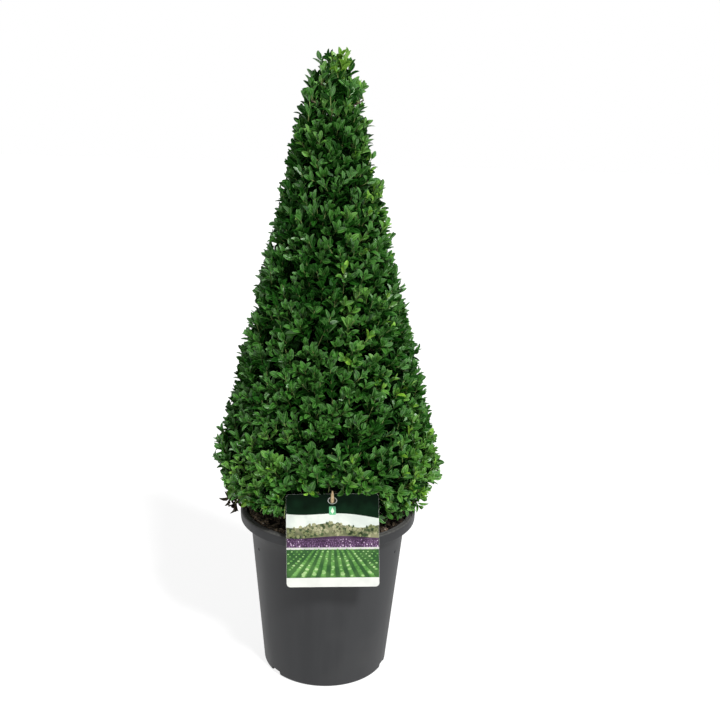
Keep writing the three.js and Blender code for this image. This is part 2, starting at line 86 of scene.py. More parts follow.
# Pot and soil, for the looks alone. The grooves lie this far in from the rim, in steps of (out, down) in mm.
# Each pin mark has two rings of (radius, out of the wall). The heaps turn by degrees and reach in by mm.
HUB = 0.5 * MM
LIP_ROUND, RIM_ROUND = 1.4 * MM, 3 * MM
GROOVES, GROOVE_STEPS = (4.6 * MM, 6.6 * MM), ((0.8, 0), (0.3, 0.8), (-0.3, 0.8), (-0.8, 0))
PIN_TURNS, PIN_Z, PIN_SIDES = (-151, -27, 91), 0.194, 16
PIN_RINGS = ((2.3 * MM, 0.0), (2.0 * MM, 0.3 * MM))
# The lip top's paler grey is partly dust and partly painted light, as if lit from above.
SKIRT_SHADE_Z, LIP_DUST_AND_LIGHT_Z = (0.2274, 0.2284), (0.2405, 0.2426)
SOIL_RINGS, SOIL_SEGMENTS, SOIL_FOOT_Z = 40, 120, 8 * MM
STREWN_CHIPS, HEAPED_CHIPS = 900, 1100
HEAP_TURNS, HEAP_HEIGHT, HEAP_REACH, HEAP_CLEAR = (155, 318), 9.6 * MM, 13, 1.6

# Loose chips on the soil: how many of ten, half sizes in mm, dark and light tone.
CHIPS = {
    "soil_crumbs": (6, (2.6, 2.2, 1.8), (0.022, 0.016, 0.01), (0.12, 0.085, 0.056)),
    "soil_bark": (3, (5.2, 2.2, 0.9), (0.1, 0.068, 0.042), (0.36, 0.27, 0.18)),
    "soil_grit": (1, (1.5, 1.3, 1.2), (0.4, 0.35, 0.26), (0.72, 0.64, 0.5)),
}

# Wood and leaves, for the looks alone.
BARK_INSET, BARK_RELIEF = 0.985, 0.07
STEM_STEPS, STEM_SIDES, BOUGH_STEPS, BOUGH_SIDES = 150, 26, 30, 16
STEM_BRANCHES, BRANCH_STEPS, BRANCH_SIDES = 84, 9, 7
OUTER_SPRAYS, INNER_SPRAYS, SPRAY_STEPS, SPRAY_SIDES = 330, 190, 7, 5
SPRAYS = OUTER_SPRAYS + INNER_SPRAYS
SHOOTS_PER_SPRAY, SHOOT_STEPS, SHOOT_SIDES = 5, 6, 3
PAIRS, PAIR_GAP, LEAF_FOOT = 8, 6.3 * MM, 1.2 * MM
# The blade's half width at stations along it, and the spread (degrees) and length (mm) of the first pairs.
BLADE = ((0.1, 0.26), (0.27, 0.74), (0.5, 1.0), (0.74, 0.88), (0.91, 0.52))
PAIR_SPREAD, PAIR_LENGTH = (22, 38, 52), (12.0, 15.5, 17.5)

# Colour groups of leaves: dark and light green, rib and margin (the margin's pale line partly a painted
# highlight), then roughness and gloss where they differ.
PALETTE = {
    "deep": ((0.003, 0.034, 0.0012), (0.0098, 0.07, 0.0036), (0.042, 0.135, 0.027), 0.45, 0.12),
    "mid": ((0.0115, 0.076, 0.0033), (0.039, 0.168, 0.0125), (0.145, 0.325, 0.085)),
    "fresh": ((0.038, 0.15, 0.009), (0.094, 0.264, 0.027), (0.23, 0.43, 0.12)),
    "young": ((0.085, 0.23, 0.01), (0.18, 0.39, 0.025), (0.28, 0.5, 0.08)),
    # The inner group is painted shade: near-black leaves deep inside the crown.
    "inner_shade": ((0.001, 0.008, 0.0005), (0.002, 0.014, 0.001), (0.006, 0.022, 0.004), 0.6, 0.05),
    "dry": ((0.012, 0.009, 0.005), (0.06, 0.046, 0.024), (0.2, 0.16, 0.1), 0.6, 0.2),
}
DEEP, MID, FRESH, YOUNG, INNER_SHADE, DRY = range(len(PALETTE))
BY_RULE = -1

# Shoots that stand out of the clipped outline: foot, how far the middle bends, end (all mm), and tone.
LONE_SHOOTS = [
    ((2, -6, 846), (-1, 0, 0), (3, -8, 869), YOUNG),
    ((5, -10, 844), (0, -2, 0), (9, -14, 866), YOUNG),
    ((1, -12, 842), (0, -2, 0), (-3, -16, 862), YOUNG),
    ((2, -104, 300), (0, -6, 4), (5, -140, 334), MID),
    ((23, -104, 300), (0, -6, 4), (22, -140, 332), MID),
    ((12, -106, 318), (0, -5, 4), (13, -138, 352), MID),
    ((4, -106, 324), (0, -4, 4), (-1, -136, 356), DEEP),
    ((20, -106, 324), (0, -4, 4), (26, -135, 355), FRESH),
    ((9, -112, 322), (0, -2, 2), (7, -148, 338), MID),
    ((16, -110, 326), (0, -2, 2), (19, -146, 341), DEEP),
    ((-15, -6, 838), (2, 0, 0), (-23, -6, 866), MID),
    ((-1, -8, 845), (5, 0, 4), (-10, -8, 868), DEEP),
    ((20, 0, 817), (0, 0, -2), (33, 0, 835), FRESH),
    ((132, -10, 290), (0, 0, -4), (157, -10, 295), FRESH),
    ((134, -10, 302), (2, 0, -3), (154, -12, 312), MID),
    ((-119, -20, 282), (-5, 0, 4), (-138, -22, 272), DRY),
    ((-121, -24, 276), (-8, 0, 2), (-141, -24, 257), DRY),
    ((-122, -20, 272), (-8, 0, 0), (-136, -24, 241), DRY),
    ((-118, -30, 272), (-8, 0, 0), (-133, -32, 250), DRY),
    ((-116, -12, 278), (-8, 0, 0), (-138, -14, 262), DRY),
    ((106, -30, 284), (6, 0, 2), (122, -30, 266), DRY),
]

# The card's print: its face, how far it reaches, and its wavy edges as edge() takes them.
FACE, PRINT_SIDE, PRINT_TOP = CARD_THICKNESS * 0.92, CARD_WIDTH / 2 - 0.15 * MM, CARD_HEIGHT - 0.15 * MM
PRINT_XS = np.linspace(-PRINT_SIDE, PRINT_SIDE, 61)
SLOPE, HILLS, BED = (0.775, 0.02, 0.021, 0.8, -0.06), (0.66, 0.025, 0.014, 2), (0.535, 0.012, 0.019, 1)
FIELD_FOOT, FIELD_TOP = 0.1, 0.403

rng = np.random.default_rng(41)


def smooth(x):
    x = np.clip(x, 0, 1)
    return x * x * (3 - 2 * x)


def unit(v):
    return v / np.maximum(np.linalg.norm(v, axis=-1, keepdims=True), 1e-12)


def turned(a, b, angle):
    """Rows of a turned towards rows of b by angles."""
    return a * np.cos(angle)[..., None] + b * np.sin(angle)[..., None]


def rotate(v, axis, angle):
    """Turns rows of v about rows of axis."""
    on_axis = axis * np.sum(axis * v, -1, keepdims=True) * (1 - np.cos(angle)[..., None])
    return turned(v, np.cross(axis, v), angle) + on_axis


def heading_to(angle, climb):
    """Directions at angles round the plant and at climbs above level."""
    return np.stack([np.cos(angle) * np.cos(climb), np.sin(angle) * np.cos(climb), np.sin(climb)], -1)


def outwards(angle):
    return np.array([math.cos(angle), math.sin(angle), 0])


class Rows:
    """Arrays with a row for each member, picked and joined together."""

    def __init__(self, **columns):
        vars(self).update(columns)

    def pick(self, mask):
        return Rows(**{key: value[mask] for key, value in vars(self).items()})


def join(groups):
    return Rows(**{key: np.concatenate([vars(g)[key] for g in groups]) for key in vars(groups[0])})


# Meshes ------------


def link(name, data):
    made = bpy.data.objects.new(name, data)
    bpy.context.scene.collection.objects.link(made)
    return made


def mesh_object(name, verts, *faces, smooth_faces=True, uv=None):
    """A mesh object from an (n, 3) array and arrays of faces, each of one size."""
    mesh = bpy.data.meshes.new(name)
    mesh.vertices.add(len(verts))
    mesh.vertices.foreach_set("co", np.ascontiguousarray(verts, np.float32).ravel())
    sizes = np.concatenate([np.full(len(f), f.shape[1], np.int32) for f in faces])
    corners = np.concatenate([np.asarray(f, np.int32).ravel() for f in faces])
    mesh.loops.add(len(corners))
    mesh.loops.foreach_set("vertex_index", corners)
    mesh.polygons.add(len(sizes))
    starts = np.concatenate([[0], np.cumsum(sizes)[:-1]]).astype(np.int32)
    mesh.polygons.foreach_set("loop_start", starts)
    mesh.polygons.foreach_set("loop_total", sizes)
    mesh.polygons.foreach_set("use_smooth", np.full(len(sizes), smooth_faces))
    if uv is not None:
        layer = mesh.uv_layers.new(name="blade")
        layer.data.foreach_set("uv", np.ascontiguousarray(uv[corners], np.float32).ravel())
    mesh.update(calc_edges=True)
    mesh.validate()
    return link(name, mesh)


def dress(made, material, slot, *nodes):
    """Gives a piece its material and the root body, and hides the CAD nodes that it replaces. The slot is not
    used.
    """
    made.data.materials.clear()
    made.data.materials.append(material)
    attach(made, "root")
    if nodes:
        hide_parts(*nodes)


class Pile:
    """Vertices and faces gathered for one mesh."""

    def __init__(self):
        self.verts, self.faces, self.count = [], {}, 0

    def add(self, verts, *faces):
        self.verts.append(verts)
        for f in faces:
            self.faces.setdefault(f.shape[1], []).append(f + self.count)
        self.count += len(verts)

    def build(self, name, smooth_faces=True):
        faces = [np.concatenate(f) for f in self.faces.values()]
        return mesh_object(name, np.concatenate(self.verts), *faces, smooth_faces=smooth_faces)


def ring_quads(rings, sides, closed=False):
    """Quads between rings of points; closed joins the last ring to the first."""
    i = np.arange(rings if closed else rings - 1)[:, None]
    j = np.arange(sides)[None]
    k, n = (j + 1) % sides, (i + 1) % rings
    return np.stack([i * sides + j, i * sides + k, n * sides + k, n * sides + j], -1).reshape(-1, 4)


def fan(first, sides, tip):
    """Triangles from the ring that starts at first to one point."""
    j = np.arange(sides)
    return np.stack([first + j, first + (j + 1) % sides, np.full(sides, tip)], -1)


def lathe(profile, segments):
    """Turns a closed profile of (radius, height) about +Z."""
    profile = np.asarray(profile, float)
    around = np.linspace(0, 2 * math.pi, segments, endpoint=False)
    verts = np.zeros((len(profile), segments, 3))
    verts[..., 0] = profile[:, :1] * np.cos(around)
    verts[..., 1] = profile[:, :1] * np.sin(around)
    verts[..., 2] = profile[:, 1:]
    return verts.reshape(-1, 3), ring_quads(len(profile), segments, True)


def tubes(points, radii, sides):
    """Tapered round tubes that close to a point, from points (n, steps, 3) and radii (n, steps).

    Returns the vertices by tube, and the faces of one tube."""
    n, steps, _ = points.shape
    along = unit(np.gradient(points, axis=1))
    side = np.cross(along[:, 0], np.array([0.31, 0.17, 0.94]))
    side = unit(np.where(np.linalg.norm(side, axis=-1, keepdims=True) < 0.05, [1.0, 0, 0], side))
    turn = np.arange(sides) * 2 * math.pi / sides
    rings = []
    for s in range(steps):
        side = unit(side - along[:, s] * np.sum(side * along[:, s], -1, keepdims=True))
        other = np.cross(along[:, s], side)
        circle = turned(side[:, None], other[:, None], turn)
        rings.append(points[:, s, None] + radii[:, s, None, None] * circle)
    tip = points[:, -1:] + along[:, -1:] * radii[:, -1:, None]
    verts = np.concatenate([np.stack(rings, 1).reshape(n, steps * sides, 3), tip], 1)
    return verts, ring_quads(steps, sides), fan((steps - 1) * sides, sides, steps * sides)


def deal(piles, tiers, verts, *faces):
    """Deals tubes into the piles of their tiers."""
    for tier, pile in enumerate(piles.values()):
        mine = verts[tiers == tier]
        start = (np.arange(len(mine)) * verts.shape[1])[:, None, None]
        if len(mine):
            pile.add(mine.reshape(-1, 3), *[(f + start).reshape(-1, f.shape[1]) for f in faces])


def bezier(a, b, c, steps):
    t = np.linspace(0, 1, steps)[None, :, None]
    return (1 - t) ** 2 * a[:, None] + 2 * t * (1 - t) * b[:, None] + t * t * c[:, None]


def through(points, steps):
    """A smooth path through points, evenly stepped by length."""
    ends = np.concatenate([[2 * points[0] - points[1]], points, [2 * points[-1] - points[-2]]])
    t = np.linspace(0, 1, 40, endpoint=False)[:, None]
    fine = []
    for a, b, c, d in zip(ends, ends[1:], ends[2:], ends[3:]):
        square, cube = 2 * a - 5 * b + 4 * c - d, 3 * b - a - 3 * c + d
        fine.append(0.5 * (2 * b + (c - a) * t + square * t**2 + cube * t**3))
    fine = np.concatenate([*fine, points[-1:]])
    length = np.concatenate([[0], np.cumsum(np.linalg.norm(np.diff(fine, axis=0), axis=1))])
    wanted = np.linspace(0, length[-1], steps)
    return np.stack([np.interp(wanted, length, fine[:, i]) for i in range(3)], 1)


def arc(cx, cy, r, start, end, steps=8):
    turn = np.radians(np.linspace(start, end, steps))
    return [(cx + r * math.cos(t), cy + r * math.sin(t)) for t in turn]


# Materials ------------


class Shader:
    """A short way to wire the nodes of a material or a world."""

    def __init__(self, name, world=False):
        self.owner = (bpy.data.worlds if world else bpy.data.materials).new(name)
        self.owner.use_nodes = True
        self.tree = self.owner.node_tree
        self.tree.nodes.clear()
        self.out = self.node("OutputWorld" if world else "OutputMaterial")

    def node(self, kind, inputs=None, **props):
        made = self.tree.nodes.new("ShaderNode" + kind)
        for key, value in props.items():
            setattr(made, key, value)
        for key, value in (inputs or {}).items():
            self.put(value, made.inputs[key])
        return made

    def put(self, value, socket):
        if isinstance(value, bpy.types.NodeSocket):
            self.tree.links.new(value, socket)
        elif isinstance(value, tuple) and len(value) == 3 and socket.type == "RGBA":
            socket.default_value = (*value, 1)
        else:
            socket.default_value = value

    def split(self, vector):
        return self.node("SeparateXYZ", {"Vector": vector}).outputs

    def place(self, output="Object"):
        return self.node("TexCoord").outputs[output]

    def noise(self, scale, detail=3, rough=0.5, stretch=(1, 1, 1)):
        vector = self.node("Mapping", {"Vector": self.place(), "Scale": stretch}).outputs["Vector"]
        inputs = {"Vector": vector, "Scale": scale, "Detail": detail, "Roughness": rough}
        return self.node("TexNoise", inputs).outputs["Fac"]

    def ramp(self, value, low, high, to_low=0.0, to_high=1.0):
        inputs = {"Value": value, "From Min": low, "From Max": high, "To Min": to_low, "To Max": to_high}
        return self.node("MapRange", inputs, interpolation_type="SMOOTHSTEP").outputs["Result"]

    def math(self, operation, *values):
        made = self.node("Math", operation=operation)
        for socket, value in zip(made.inputs, values):
            self.put(value, socket)
        return made.outputs[0]

    def blend(self, a, share_a, b, share_b):
        return self.math("ADD", self.math("MULTIPLY", a, share_a), self.math("MULTIPLY", b, share_b))

    def mix(self, share, a, b):
        made = self.node("Mix", data_type="RGBA")
        for socket, value in {0: share, 6: a, 7: b}.items():  # the factor's and the two colours' sockets
            self.put(value, made.inputs[socket])
        return made.outputs[2]

    def bump(self, height, strength, distance):
        inputs = {"Height": height, "Strength": strength, "Distance": distance}
        return self.node("Bump", inputs).outputs["Normal"]

    def show(self, surface):
        self.tree.links.new(surface.outputs[0], self.out.inputs[0])
        return self.owner

    def finish(self, color, roughness, normal=None, specular=0.5, **more):
        inputs = {"Base Color": color, "Roughness": roughness, "Specular IOR Level": specular, **more}
        if normal is not None:
            inputs["Normal"] = normal
        return self.show(self.node("BsdfPrincipled", inputs))


def grained(name, dark, light, grain, roughness, relief, fine=None, gloss=0.5, span=(0.35, 0.65)):
    """Two tones in the grain of a noise, with relief from the same noise or from a finer one."""
    s = Shader(name)
    noise = s.noise(*grain)
    tone = s.mix(s.ramp(noise, *span), dark, light)
    return s.finish(tone, roughness, s.bump(s.noise(*fine) if fine else noise, *relief), gloss)


def chip_material(name, dark, light):
    return grained(name, dark, light, (300, 4, 0.6), 0.9, (0.6, 0.001))


def print_material(name, color, light=None, gloss=0.16):
    """Ink on plastic: an even tone with a fine screen."""
    light = light or tuple(min(1, c * 1.12 + 0.01) for c in color)
    return grained(name, color, light, (60, 2), 0.46, (0.05, 0.0002), (700, 2), gloss)


def leaf_material(name, dark, light, rib, roughness=0.42, gloss=0.6):
    """A glossy leaf: two greens in patches, a paler midrib, and a thin pale margin that is partly the blade's
    own rim and partly a painted highlight along its edge.
    """
    s = Shader(name)
    uv = s.split(s.node("UVMap", uv_map="blade").outputs["UV"])
    across = s.math("ABSOLUTE", s.math("SUBTRACT", uv["X"], 0.5))
    midrib = s.ramp(across, 0.02, 0.11, 1.0, 0.0)
    margin = s.ramp(across, 0.36, 0.47)
    fine = s.noise(420, 2, 0.5)
    green = s.mix(s.ramp(s.blend(s.noise(38, 2, 0.55), 0.6, fine, 0.4), 0.36, 0.64), dark, light)
    green = s.mix(s.math("MULTIPLY", midrib, 0.78), green, rib)
    # The pale margin is partly the leaf's own rim and partly a painted highlight along the edge.
    green = s.mix(s.math("MULTIPLY", margin, 0.45), green, rib)
    normal = s.bump(s.math("ADD", s.math("MULTIPLY", midrib, -1.0), fine), 0.35, 0.0006)
    return s.finish(green, s.ramp(fine, 0.3, 0.7, roughness - 0.06, roughness + 0.08), normal, gloss)


def bark_material():
    """Grey-brown ridges, with greenish blotches."""
    s = Shader("bark")
    ridges = s.noise(260, 4, 0.6, (1, 1, 0.22))
    color = s.mix(s.ramp(ridges, 0.35, 0.65), (0.07, 0.052, 0.035), (0.24, 0.19, 0.125))
    color = s.mix(s.ramp(s.noise(40, 3, 0.5), 0.55, 0.75, 0, 0.6), color, (0.19, 0.2, 0.13))
    return s.finish(color, 0.88, s.bump(ridges, 0.7, 0.0015))


def pot_material():
    """Matt anthracite plastic: faint upright streaks from moulding, a darker rim, and on the lip top a paler
    grey that is partly dust and partly painted light.
    """
    s = Shader("pot_plastic")
    streaks = s.noise(30, 4, 0.55, (1, 1, 0.06))
    color = s.mix(s.ramp(streaks, 0.36, 0.66), (0.0155, 0.0162, 0.0178), (0.023, 0.0238, 0.0254))
    color = s.mix(s.ramp(s.noise(9, 3, 0.5), 0.5, 0.75, 0, 0.5), color, (0.034, 0.034, 0.034))
    height = s.split(s.place())["Z"]
    color = s.mix(s.ramp(height, *SKIRT_SHADE_Z, 0, 0.42), color, (0.008, 0.0086, 0.0098))
    # Dust and painted light: the lip top turns paler grey in patches.
    dust_and_light = s.math("MULTIPLY", s.ramp(height, *LIP_DUST_AND_LIGHT_Z), s.ramp(s.noise(260, 4, 0.6), 0.3, 0.7, 0.5, 1.0))
    color = s.mix(dust_and_light, color, (0.08, 0.079, 0.074))
    normal = s.bump(s.blend(streaks, 0.5, s.noise(1500, 2, 0.5), 0.25), 0.25, 0.0006)
    return s.finish(color, s.ramp(streaks, 0.3, 0.7, 0.5, 0.62), normal, 0.35)


def soil_material():
    s = Shader("soil")
    clods, fine = s.noise(190, 6, 0.65), s.noise(900, 3, 0.6)
    color = s.mix(s.ramp(clods, 0.35, 0.68), (0.01, 0.007, 0.005), (0.07, 0.048, 0.031))
    color = s.mix(s.ramp(fine, 0.66, 0.8, 0, 0.5), color, (0.2, 0.16, 0.12))
    return s.finish(color, 0.95, s.bump(s.math("ADD", clods, fine), 0.9, 0.003), 0.3)


# Crown rules, as in the source ------------


def tip_share(z):
    return np.clip((np.asarray(z, float) - TIP_Z) / (CROWN_TOP_Z - TIP_Z), 0, 1)


def axis_x(z):
    return CROWN_LEAN * (z - SOIL_TOP_Z) / (CROWN_TOP_Z - SOIL_TOP_Z) + TIP_SHIFT * tip_share(z)


def crown_radius(z):
    z = np.asarray(z, float)
    swell = SWELL_DEPTH * np.maximum(0, 1 - np.abs(z - SWELL_Z) / SWELL_HEIGHT)
    share = (z - CROWN_WIDEST_Z) / (CROWN_TOP_Z - CROWN_WIDEST_Z)
    above = CROWN_RADIUS + (CROWN_TIP_RADIUS - CROWN_RADIUS) * share - TIP_TAPER * tip_share(z) ** 2
    drop = np.clip((CROWN_WIDEST_Z - z) / (CROWN_WIDEST_Z - CROWN_BOTTOM_Z), 0, 1)
    below = UNDERSIDE_RADIUS + (CROWN_RADIUS - UNDERSIDE_RADIUS) * np.sqrt(1 - drop * drop)
    return np.where(z >= CROWN_WIDEST_Z, above, below) + swell


def lumps(angle, z):
    return (2.2 * np.sin(3 * angle + z / 0.034) + 1.8 * np.sin(5 * angle - z / 0.021 + 1.3)) * MM


def outline_radius(angle, z):
    """The clipped outline, a little uneven."""
    return crown_radius(z) + 0.6 * lumps(angle, z)


def outline_room(points):
    """How far inside the clipped outline each point lies, in metres. Negative outside."""
    x, y, z = points[..., 0] - axis_x(points[..., 2]), points[..., 1], points[..., 2]
    room = outline_radius(np.arctan2(y, x), z) - np.hypot(x, y)
    return np.minimum(room, np.minimum(z - CROWN_BOTTOM_Z + 4 * MM, CROWN_TOP_Z - z))


def climb_at(z):
    """How steeply the sprays climb: hanging at the foot of the crown, and steepest near the tip."""
    lean = np.clip((z - CORE_BOTTOM_Z - 6 * MM) / 0.044, 0, 1)
    steeper = np.maximum(0, (z - STEEP_FROM_Z) / (CORE_TOP_Z - STEEP_FROM_Z)) * math.radians(34)
    return np.radians(-34 + 80 * lean) + steeper


def tier_of(z):
    return np.searchsorted(np.array(list(TIER_TOPS.values())), z)


STEM_POINTS = np.array(
    [
        (0, 0, SOIL_TOP_Z - 6 * MM),
        (0, 0, SOIL_TOP_Z + 12 * MM),
        (axis_x(0.35) + 4 * MM, 3 * MM, 0.35),
        (axis_x(0.49) - 3 * MM, -2 * MM, 0.49),
        (axis_x(0.65) + 3 * MM, 2 * MM, 0.65),
        (axis_x(STEM_TIP_Z) + 1 * MM, 0, STEM_TIP_Z),
    ]
)

# Places kept clear ------------


def card_frame():
    """The card's frame: X right, Y up the card, Z out of the print."""
    front = Vector((0, -math.cos(CARD_TILT), math.sin(CARD_TILT)))
    up = Vector((0, math.sin(CARD_TILT), math.cos(CARD_TILT)))
    right = up.cross(front)
    on_rim = Vector((0, -POT_RIM_RADIUS, POT_HEIGHT - 4 * MM)) + front * (GAP + 0.2 * MM)
    foot = on_rim + up * ((CARD_BOTTOM_Z - on_rim.z) / up.z)
    foot.x = CARD_X
    basis = Matrix((right, up, front)).transposed().to_4x4()
    return Matrix.Translation(foot) @ basis @ Matrix.Rotation(CARD_TURN, 4, "Z")


CARD = card_frame()
CARD_ARRAY, CARD_INVERSE = np.array(CARD), np.array(CARD.inverted())
CANE_DIRECTION = np.array([0, -math.sin(CANE_LEAN), math.cos(CANE_LEAN)])
CANE_HOLE = np.array(CARD @ Vector((0, CARD_HEIGHT - HOLE_BELOW, CARD_THICKNESS / 2)))
CANE_IN_SIGHT, CANE_TIP_ROOM, PRINT_SIGHT = 5 * MM, 11 * MM, 80 * MM


def in_card(points):
    return points @ CARD_INVERSE[:3, :3].T + CARD_INVERSE[:3, 3]


def card_blocks(points, margin=0.0015, over_top=0.0):
    """True for points in the card or in the space that its print and the cane's tip are seen through."""
    q = in_card(points)
    over_cane = np.where(np.abs(q[..., 0]) < CANE_IN_SIGHT, CANE_TIP_ROOM, -over_top)
    wide = np.abs(q[..., 0]) < CARD_WIDTH / 2 + margin
    high = (q[..., 1] > -margin) & (q[..., 1] < CARD_HEIGHT + margin + over_cane)
    return wide & high & (q[..., 2] > -margin) & (q[..., 2] < PRINT_SIGHT)


def behind_card(points, room=0.004):
    """Points in or close to the card are moved back behind it."""
    q = in_card(points)
    beside, beyond = np.abs(q[..., 0]), np.abs(q[..., 1] - CARD_HEIGHT / 2)
    near = (beside < CARD_WIDTH / 2 + room) & (beyond < CARD_HEIGHT / 2 + room)
    back = np.where(near, np.maximum(0, q[..., 2] + room), 0)
    return points - back[..., None] * CARD_ARRAY[:3, 2]


def near_cane(points, room=0.0045):
    along = (points - CANE_HOLE) @ CANE_DIRECTION
    along = np.clip(along, (SOIL_EDGE_Z - CANE_HOLE[2]) / CANE_DIRECTION[2], CANE_ABOVE)
    nearest = CANE_HOLE + along[..., None] * CANE_DIRECTION
    return np.linalg.norm(points - nearest, axis=-1) < room


def over_soil(points):
    """True for points in the wedge that is open between the soil's edge and the crown at the front left."""
    x, y, z = points[..., 0], points[..., 1], points[..., 2]
    low = z < 0.2435 + 0.44 * (-y - 0.06) + 0.27 * (-x - 0.06)
    return low & (y < -0.03) & (x < -0.04) & (x > -0.106)


def in_pot(points, margin=0.0012):
    """True for points in the rim, the wall or the soil."""
    r, z = np.hypot(points[..., 0], points[..., 1]), points[..., 2]
    rim = (r > POT_NECK_RADIUS - margin) & (r < POT_RIM_RADIUS + margin) & (z < POT_HEIGHT + margin)
    return rim | ((r <= POT_NECK_RADIUS) & (z < SOIL_TOP_Z + 3 * MM))


# Pot and soil ------------


def wall_radius(z):
    if z <= POT_NECK_Z:
        return POT_BASE_RADIUS + (POT_NECK_RADIUS - POT_BASE_RADIUS) * z / POT_NECK_Z
    flare = (z - POT_NECK_Z) / (POT_HEIGHT - POT_NECK_Z)
    return POT_NECK_RADIUS + (POT_MOUTH_RADIUS - POT_NECK_RADIUS) * flare


def pot_profile():
    """The pot's section as (radius, height), from under its middle round the rim and back inside."""
    skirt_z, under_rim, skirt_in = POT_HEIGHT - RIM_SKIRT, POT_HEIGHT - POT_WALL, POT_RIM_RADIUS - POT_WALL
    points = [(HUB, 0), (0.03, 0), (0.06, 0), (POT_BASE_RADIUS - POT_CORNER - 4 * MM, 0)]
    points += arc(wall_radius(POT_CORNER) - POT_CORNER, POT_CORNER, POT_CORNER, -90, 0, 7)
    points += [(wall_radius(z), z) for z in np.linspace(POT_CORNER * 1.6, POT_NECK_Z - 4 * MM, 22)]
    points += [(wall_radius(z) + 0.35 * MM, z) for z in np.linspace(POT_NECK_Z, under_rim - 2 * MM, 5)]
    points += [(POT_MOUTH_RADIUS + 1.4 * MM, under_rim - 0.4 * MM), (POT_MOUTH_RADIUS + 3 * MM, under_rim)]
    points += [(skirt_in - 1.2 * MM, under_rim), (skirt_in, under_rim - 1.6 * MM)]
    points += [(skirt_in - RIM_DRAFT, skirt_z + 0.5 * MM)]
    points += arc(POT_RIM_RADIUS - RIM_DRAFT - POT_WALL / 2, skirt_z + POT_WALL / 2, POT_WALL / 2, 180, 360)
    points += [(POT_RIM_RADIUS - RIM_DRAFT * 0.6, skirt_z + 3 * MM), (POT_RIM_RADIUS, POT_HEIGHT - 5 * MM)]
    points += [(POT_RIM_RADIUS, POT_HEIGHT - 3.6 * MM)]
    points += arc(POT_RIM_RADIUS - RIM_ROUND, POT_HEIGHT - RIM_ROUND, RIM_ROUND, 8, 90)
    for inset in GROOVES:
        points += [(POT_RIM_RADIUS - inset + out * MM, POT_HEIGHT - down * MM) for out, down in GROOVE_STEPS]
    points += arc(POT_MOUTH_RADIUS + LIP_ROUND, POT_HEIGHT - LIP_ROUND, LIP_ROUND, 90, 180, 5)
    points += [(wall_radius(POT_HEIGHT - 5 * MM) - POT_WALL * 0.7, POT_HEIGHT - 5 * MM)]
    for z in (POT_HEIGHT - 12 * MM, POT_NECK_Z, 0.14, 0.07, POT_CORNER + POT_WALL):
        points.append((wall_radius(z) - POT_WALL, z))
    return points + [(POT_BASE_RADIUS - POT_CORNER - 1 * MM, POT_WALL), (HUB, POT_WALL)]


def pot_cutter():
    """One object of the notches at the foot and the drain holes."""
    cutters = []
    for i in range(NOTCHES):
        bpy.ops.mesh.primitive_cube_add(size=1)
        cut = bpy.context.object
        for v in cut.data.vertices:
            v.co.x *= NOTCH_DEPTH * 2
            v.co.y *= NOTCH_WIDTH * (0.7 if v.co.z > 0 else 1)
            v.co.z *= NOTCH_HEIGHT * 2
            v.co.x += POT_BASE_RADIUS
        cut.rotation_euler.z = math.radians(FIRST_NOTCH + i * 360 / NOTCHES)
        cutters.append(cut)
    for i in range(DRAIN_HOLES):
        place = outwards(i * 2 * math.pi / DRAIN_HOLES) * DRAIN_RING
        bpy.ops.mesh.primitive_cylinder_add(
            vertices=24, radius=DRAIN_RADIUS, depth=POT_WALL * 4, location=place
        )
        cutters.append(bpy.context.object)
    bpy.ops.object.select_all(action="DESELECT")
    for cut in cutters:
        cut.select_set(True)
    bpy.context.view_layer.objects.active = cutters[0]
    bpy.ops.object.join()
    return bpy.context.object


def make_pot():
    pot = mesh_object("pot_body", *lathe(pot_profile(), 192))
    cutter = pot_cutter()
    change = pot.modifiers.new("drain", "BOOLEAN")
    change.operation, change.solver, change.object = "DIFFERENCE", "EXACT", cutter
    bpy.context.view_layer.objects.active = pot
    bpy.ops.object.modifier_apply(modifier=change.name)
    bpy.data.objects.remove(cutter)
    for p in pot.data.polygons:
        p.use_smooth = True
    pot.data.set_sharp_from_angle(angle=math.radians(32))
    dress(pot, pot_material(), "pot", "pot")


def make_pin_marks():
    """Three small dark pin marks round the wall, two of them in sight."""
    marks = Pile()
    ring = np.linspace(0, 2 * math.pi, PIN_SIDES, endpoint=False)
    for angle in np.radians(PIN_TURNS):
        centre = outwards(angle) * (wall_radius(PIN_Z) - 0.1 * MM) + [0, 0, PIN_Z]
        out, side = outwards(angle) - [0, 0, 0.1], outwards(angle + math.pi / 2)
        circle = turned(side, np.cross(out, side), ring)
        rings = [centre + out * lift + r * circle for r, lift in PIN_RINGS]
        marks.add(np.concatenate(rings), ring_quads(2, PIN_SIDES), np.arange(PIN_SIDES)[None] + PIN_SIDES)
    black = chip_material("pin_mark", (0.004, 0.004, 0.005), (0.008, 0.008, 0.009))
    dress(marks.build("pot_pin_marks"), black, "pot")


